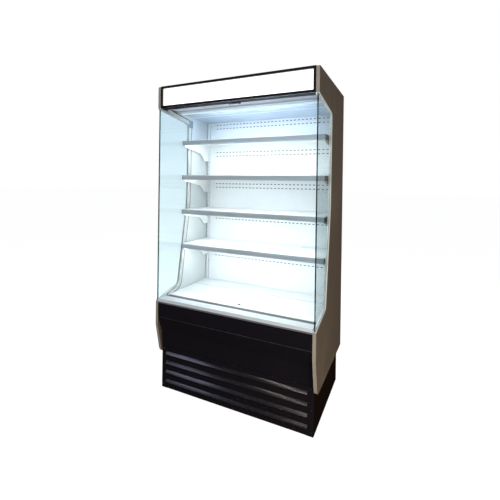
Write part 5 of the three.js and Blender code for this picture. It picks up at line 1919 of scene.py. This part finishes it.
@dataclass(frozen=True)
class StudioFloor(Finish):
    """Pale floor to the eye, which the glossy pieces reflect as the dark floor of a shop."""

    bounce: Colour = (0.3, 0.28, 0.26)
    reflected: Colour = (0.05, 0.036, 0.03)
    glow: Colour = (0.93, 0.93, 0.93)

    def looks(self, wiring: Wiring) -> dict[str, object]:
        """Chooses the floor's colour by the kind of ray that meets it."""
        seen, mirrored = wiring.seen_directly()
        unseen = wiring.blend(mirrored, self.bounce, self.reflected)
        return {
            "Base Color": wiring.blend(seen, unseen, self.colour),
            "Emission Color": wiring.blend(seen, (0.0, 0.0, 0.0), self.glow),
            "Emission Strength": 1.0,
            "Specular IOR Level": 0.0,
        }


@dataclass
class Studio:
    """Plain pale floor, soft lights and the camera at the photograph's viewing angle."""

    camera_place: Point = (0.999, -2.296, 1.432)
    yaw: float = math.radians(26.820)
    pitch: float = math.radians(-0.1965)
    roll: float = math.radians(0.7787)
    sensor: float = 36.0
    lens: float = 25.187
    shift: Pair = (0.03347, -0.13209)
    clip: Pair = (0.05, 200.0)
    floor_half: float = 60.0
    sky: Colour = (0.95, 0.97, 1.0)
    sky_strength: float = 0.2
    mirrored_sky: Colour = (1.0, 0.85, 0.75)
    mirrored_strength: float = 0.16
    lamp_size: Pair = (0.98, 0.02)
    lamp_gap: float = 3 * MM
    lamp_powers: tuple[float, ...] = (2.8, 1.6, 2.3, 2.6)
    lamp_colour: Colour = (0.9, 0.97, 1.0)
    lamp_aim: Point = (0.0, 0.4, -1.0)
    canopy_power: float = 3.6
    canopy_reach: float = 0.86
    canopy_colour: Colour = (0.74, 0.86, 1.0)
    canopy_aim: Point = (0.0, 0.25, -1.0)
    outlet_size: Pair = (1.0, 30 * MM)
    outlet_power: float = 0.22
    outlet_colour: Colour = (0.85, 0.92, 1.0)
    outlet_drop: float = 45 * MM
    outlet_ahead: float = 8 * MM

    def build(self) -> None:
        """Sets up camera, colour, world, floor and lights."""
        self.camera()
        self.world()
        floor = bmesh.new()
        bmesh.ops.create_grid(floor, x_segments=1, y_segments=1, size=self.floor_half)
        finish = StudioFloor("pale_floor", "white_paint", (0.3, 0.3, 0.3), 0.9)
        placed("studio_floor", mesh_of("studio_floor", floor, finish))
        self.room_lights()
        self.case_lights()

    def camera(self) -> None:
        """Places the camera that fits the photograph."""
        data = bpy.data.cameras.new("photo_camera")
        data.sensor_width = self.sensor
        data.lens = self.lens
        data.shift_x, data.shift_y = self.shift
        data.clip_start, data.clip_end = self.clip
        sin_yaw, cos_yaw = math.sin(self.yaw), math.cos(self.yaw)
        sin_pitch, cos_pitch = math.sin(self.pitch), math.cos(self.pitch)
        ahead = Vector((-sin_yaw * cos_pitch, cos_yaw * cos_pitch, sin_pitch))
        level = Vector((cos_yaw, sin_yaw, 0.0))
        upward = level.cross(ahead)
        right = math.cos(self.roll) * level + math.sin(self.roll) * upward
        up = -math.sin(self.roll) * level + math.cos(self.roll) * upward
        turn = Matrix((right, up, -ahead)).transposed().to_4x4()
        camera = placed("photo_camera", data)
        camera.matrix_world = Matrix.Translation(self.camera_place) @ turn
        bpy.context.scene.camera = camera
        bpy.context.scene.view_settings.view_transform = "Standard"

    def world(self) -> None:
        """Gives a white backdrop to the eye and a dimmer room to the surfaces."""
        world = bpy.data.worlds.new("studio_sky")
        bpy.context.scene.world = world
        world.use_nodes = True
        world.node_tree.nodes.clear()
        wiring = Wiring(world.node_tree)
        seen, mirrored = wiring.seen_directly()
        ends = {"To Min": self.sky_strength, "To Max": self.mirrored_strength}
        level = wiring.add("ShaderNodeMapRange", {"Value": mirrored, **ends}).outputs[0]
        room = wiring.blend(mirrored, self.sky, self.mirrored_sky)
        dim = wiring.add("ShaderNodeBackground", {"Color": room, "Strength": level})
        white = wiring.add("ShaderNodeBackground", {"Color": (1.0, 1.0, 1.0, 1.0), "Strength": 1.0})
        both = wiring.add("ShaderNodeMixShader", {0: seen, 1: dim.outputs[0], 2: white.outputs[0]})
        wiring.add("ShaderNodeOutputWorld", {"Surface": both.outputs[0]})

    def room_lights(self) -> None:
        """Lights the outside softly, and gives the louvers their two streaks."""
        louvers = ("louver_panel_formed",)
        for light in (
            Softbox("key_softbox", (0.4, -3.4, 2.9), (0.0, -0.3, 1.1), (2.2, 2.2), 48.0),
            Softbox(
                "side_softbox", (3.6, -0.6, 1.1), (0.55, 0.0, 0.8), (2.0, 1.8), 32.0,
                (1.0, 0.97, 0.93),
            ),
            Softbox(
                "low_softbox", (2.0, -1.3, 0.35), (0.55, -0.1, 0.3), (1.2, 0.6), 19.0,
                (1.0, 0.86, 0.64),
            ),
            Softbox("left_softbox", (-3.4, 0.8, 1.3), (-0.55, 0.0, 0.9), (2.0, 1.8), 30.0),
            Softbox("rear_softbox", (0.6, 4.0, 2.0), (0.0, 0.38, 0.9), (2.4, 2.4), 48.0),
            Softbox(
                "left_streak", (-1.62, -2.27, 1.63), (-0.25, -0.34, 0.15), (0.55, 0.5), 7.0,
                (0.68, 0.72, 1.0), louvers,
            ),
            Softbox(
                "right_streak", (-0.02, -2.49, 1.76), (0.5, -0.34, 0.15), (0.09, 0.5), 5.2,
                (1.0, 0.9, 0.8), louvers,
            ),
        ):
            light.build()

    def case_lights(self) -> None:
        """Helps the fridge's own lamps, which sit under each shelf and in the canopy."""
        for number, power in enumerate(self.lamp_powers, start=1):
            place, aim = self.under(f"shelf_{number}_lamp", self.lamp_aim)
            name = f"shelf_{number}_light"
            Softbox(name, place, aim, self.lamp_size, power, self.lamp_colour).build()
        place, aim = self.under("canopy_lamp", self.canopy_aim)
        size = (self.canopy_reach, Room.of("canopy_lamp").size.y)
        Softbox("canopy_light", place, aim, size, self.canopy_power, self.canopy_colour).build()
        outlet = Room.of("air_honeycomb")
        above = Vector((0.0, outlet.middle.y - self.outlet_ahead, outlet.low.z))
        below = above - Vector((0.0, 0.0, self.outlet_drop))
        Softbox(
            "outlet_light", below, above, self.outlet_size, self.outlet_power, self.outlet_colour
        ).build()

    def under(self, lamp: str, aim: Point) -> tuple[Point, Point]:
        """Returns a place just under the middle of a lamp, and where a light there points."""
        room = Room.of(lamp)
        y, z = room.middle.y, room.low.z
        return (0.0, y, z - self.lamp_gap), (0.0, y + aim[1], z + aim[2])


def main() -> None:
    """Builds every sub-assembly in order and then the studio around them."""
    logging.basicConfig(level=logging.INFO, format="%(message)s")
    for hand in Hand:
        EndPanel(hand).build()
    Header().build()
    NightCurtain().build()
    AirOutlet().build()
    Canopy().build()
    RearDuct().build()
    DeckAndSill().build()
    lenses = [FINISH.lamp_white, FINISH.lamp_cool, FINISH.lamp_white, FINISH.lamp_white]
    for number, lens in enumerate(lenses, start=1):
        Shelf(number, lens).build()
    FrontPanels().build()
    Base().build()
    Refrigeration().build()
    Studio().build()


if __name__ == "__main__":
    main()
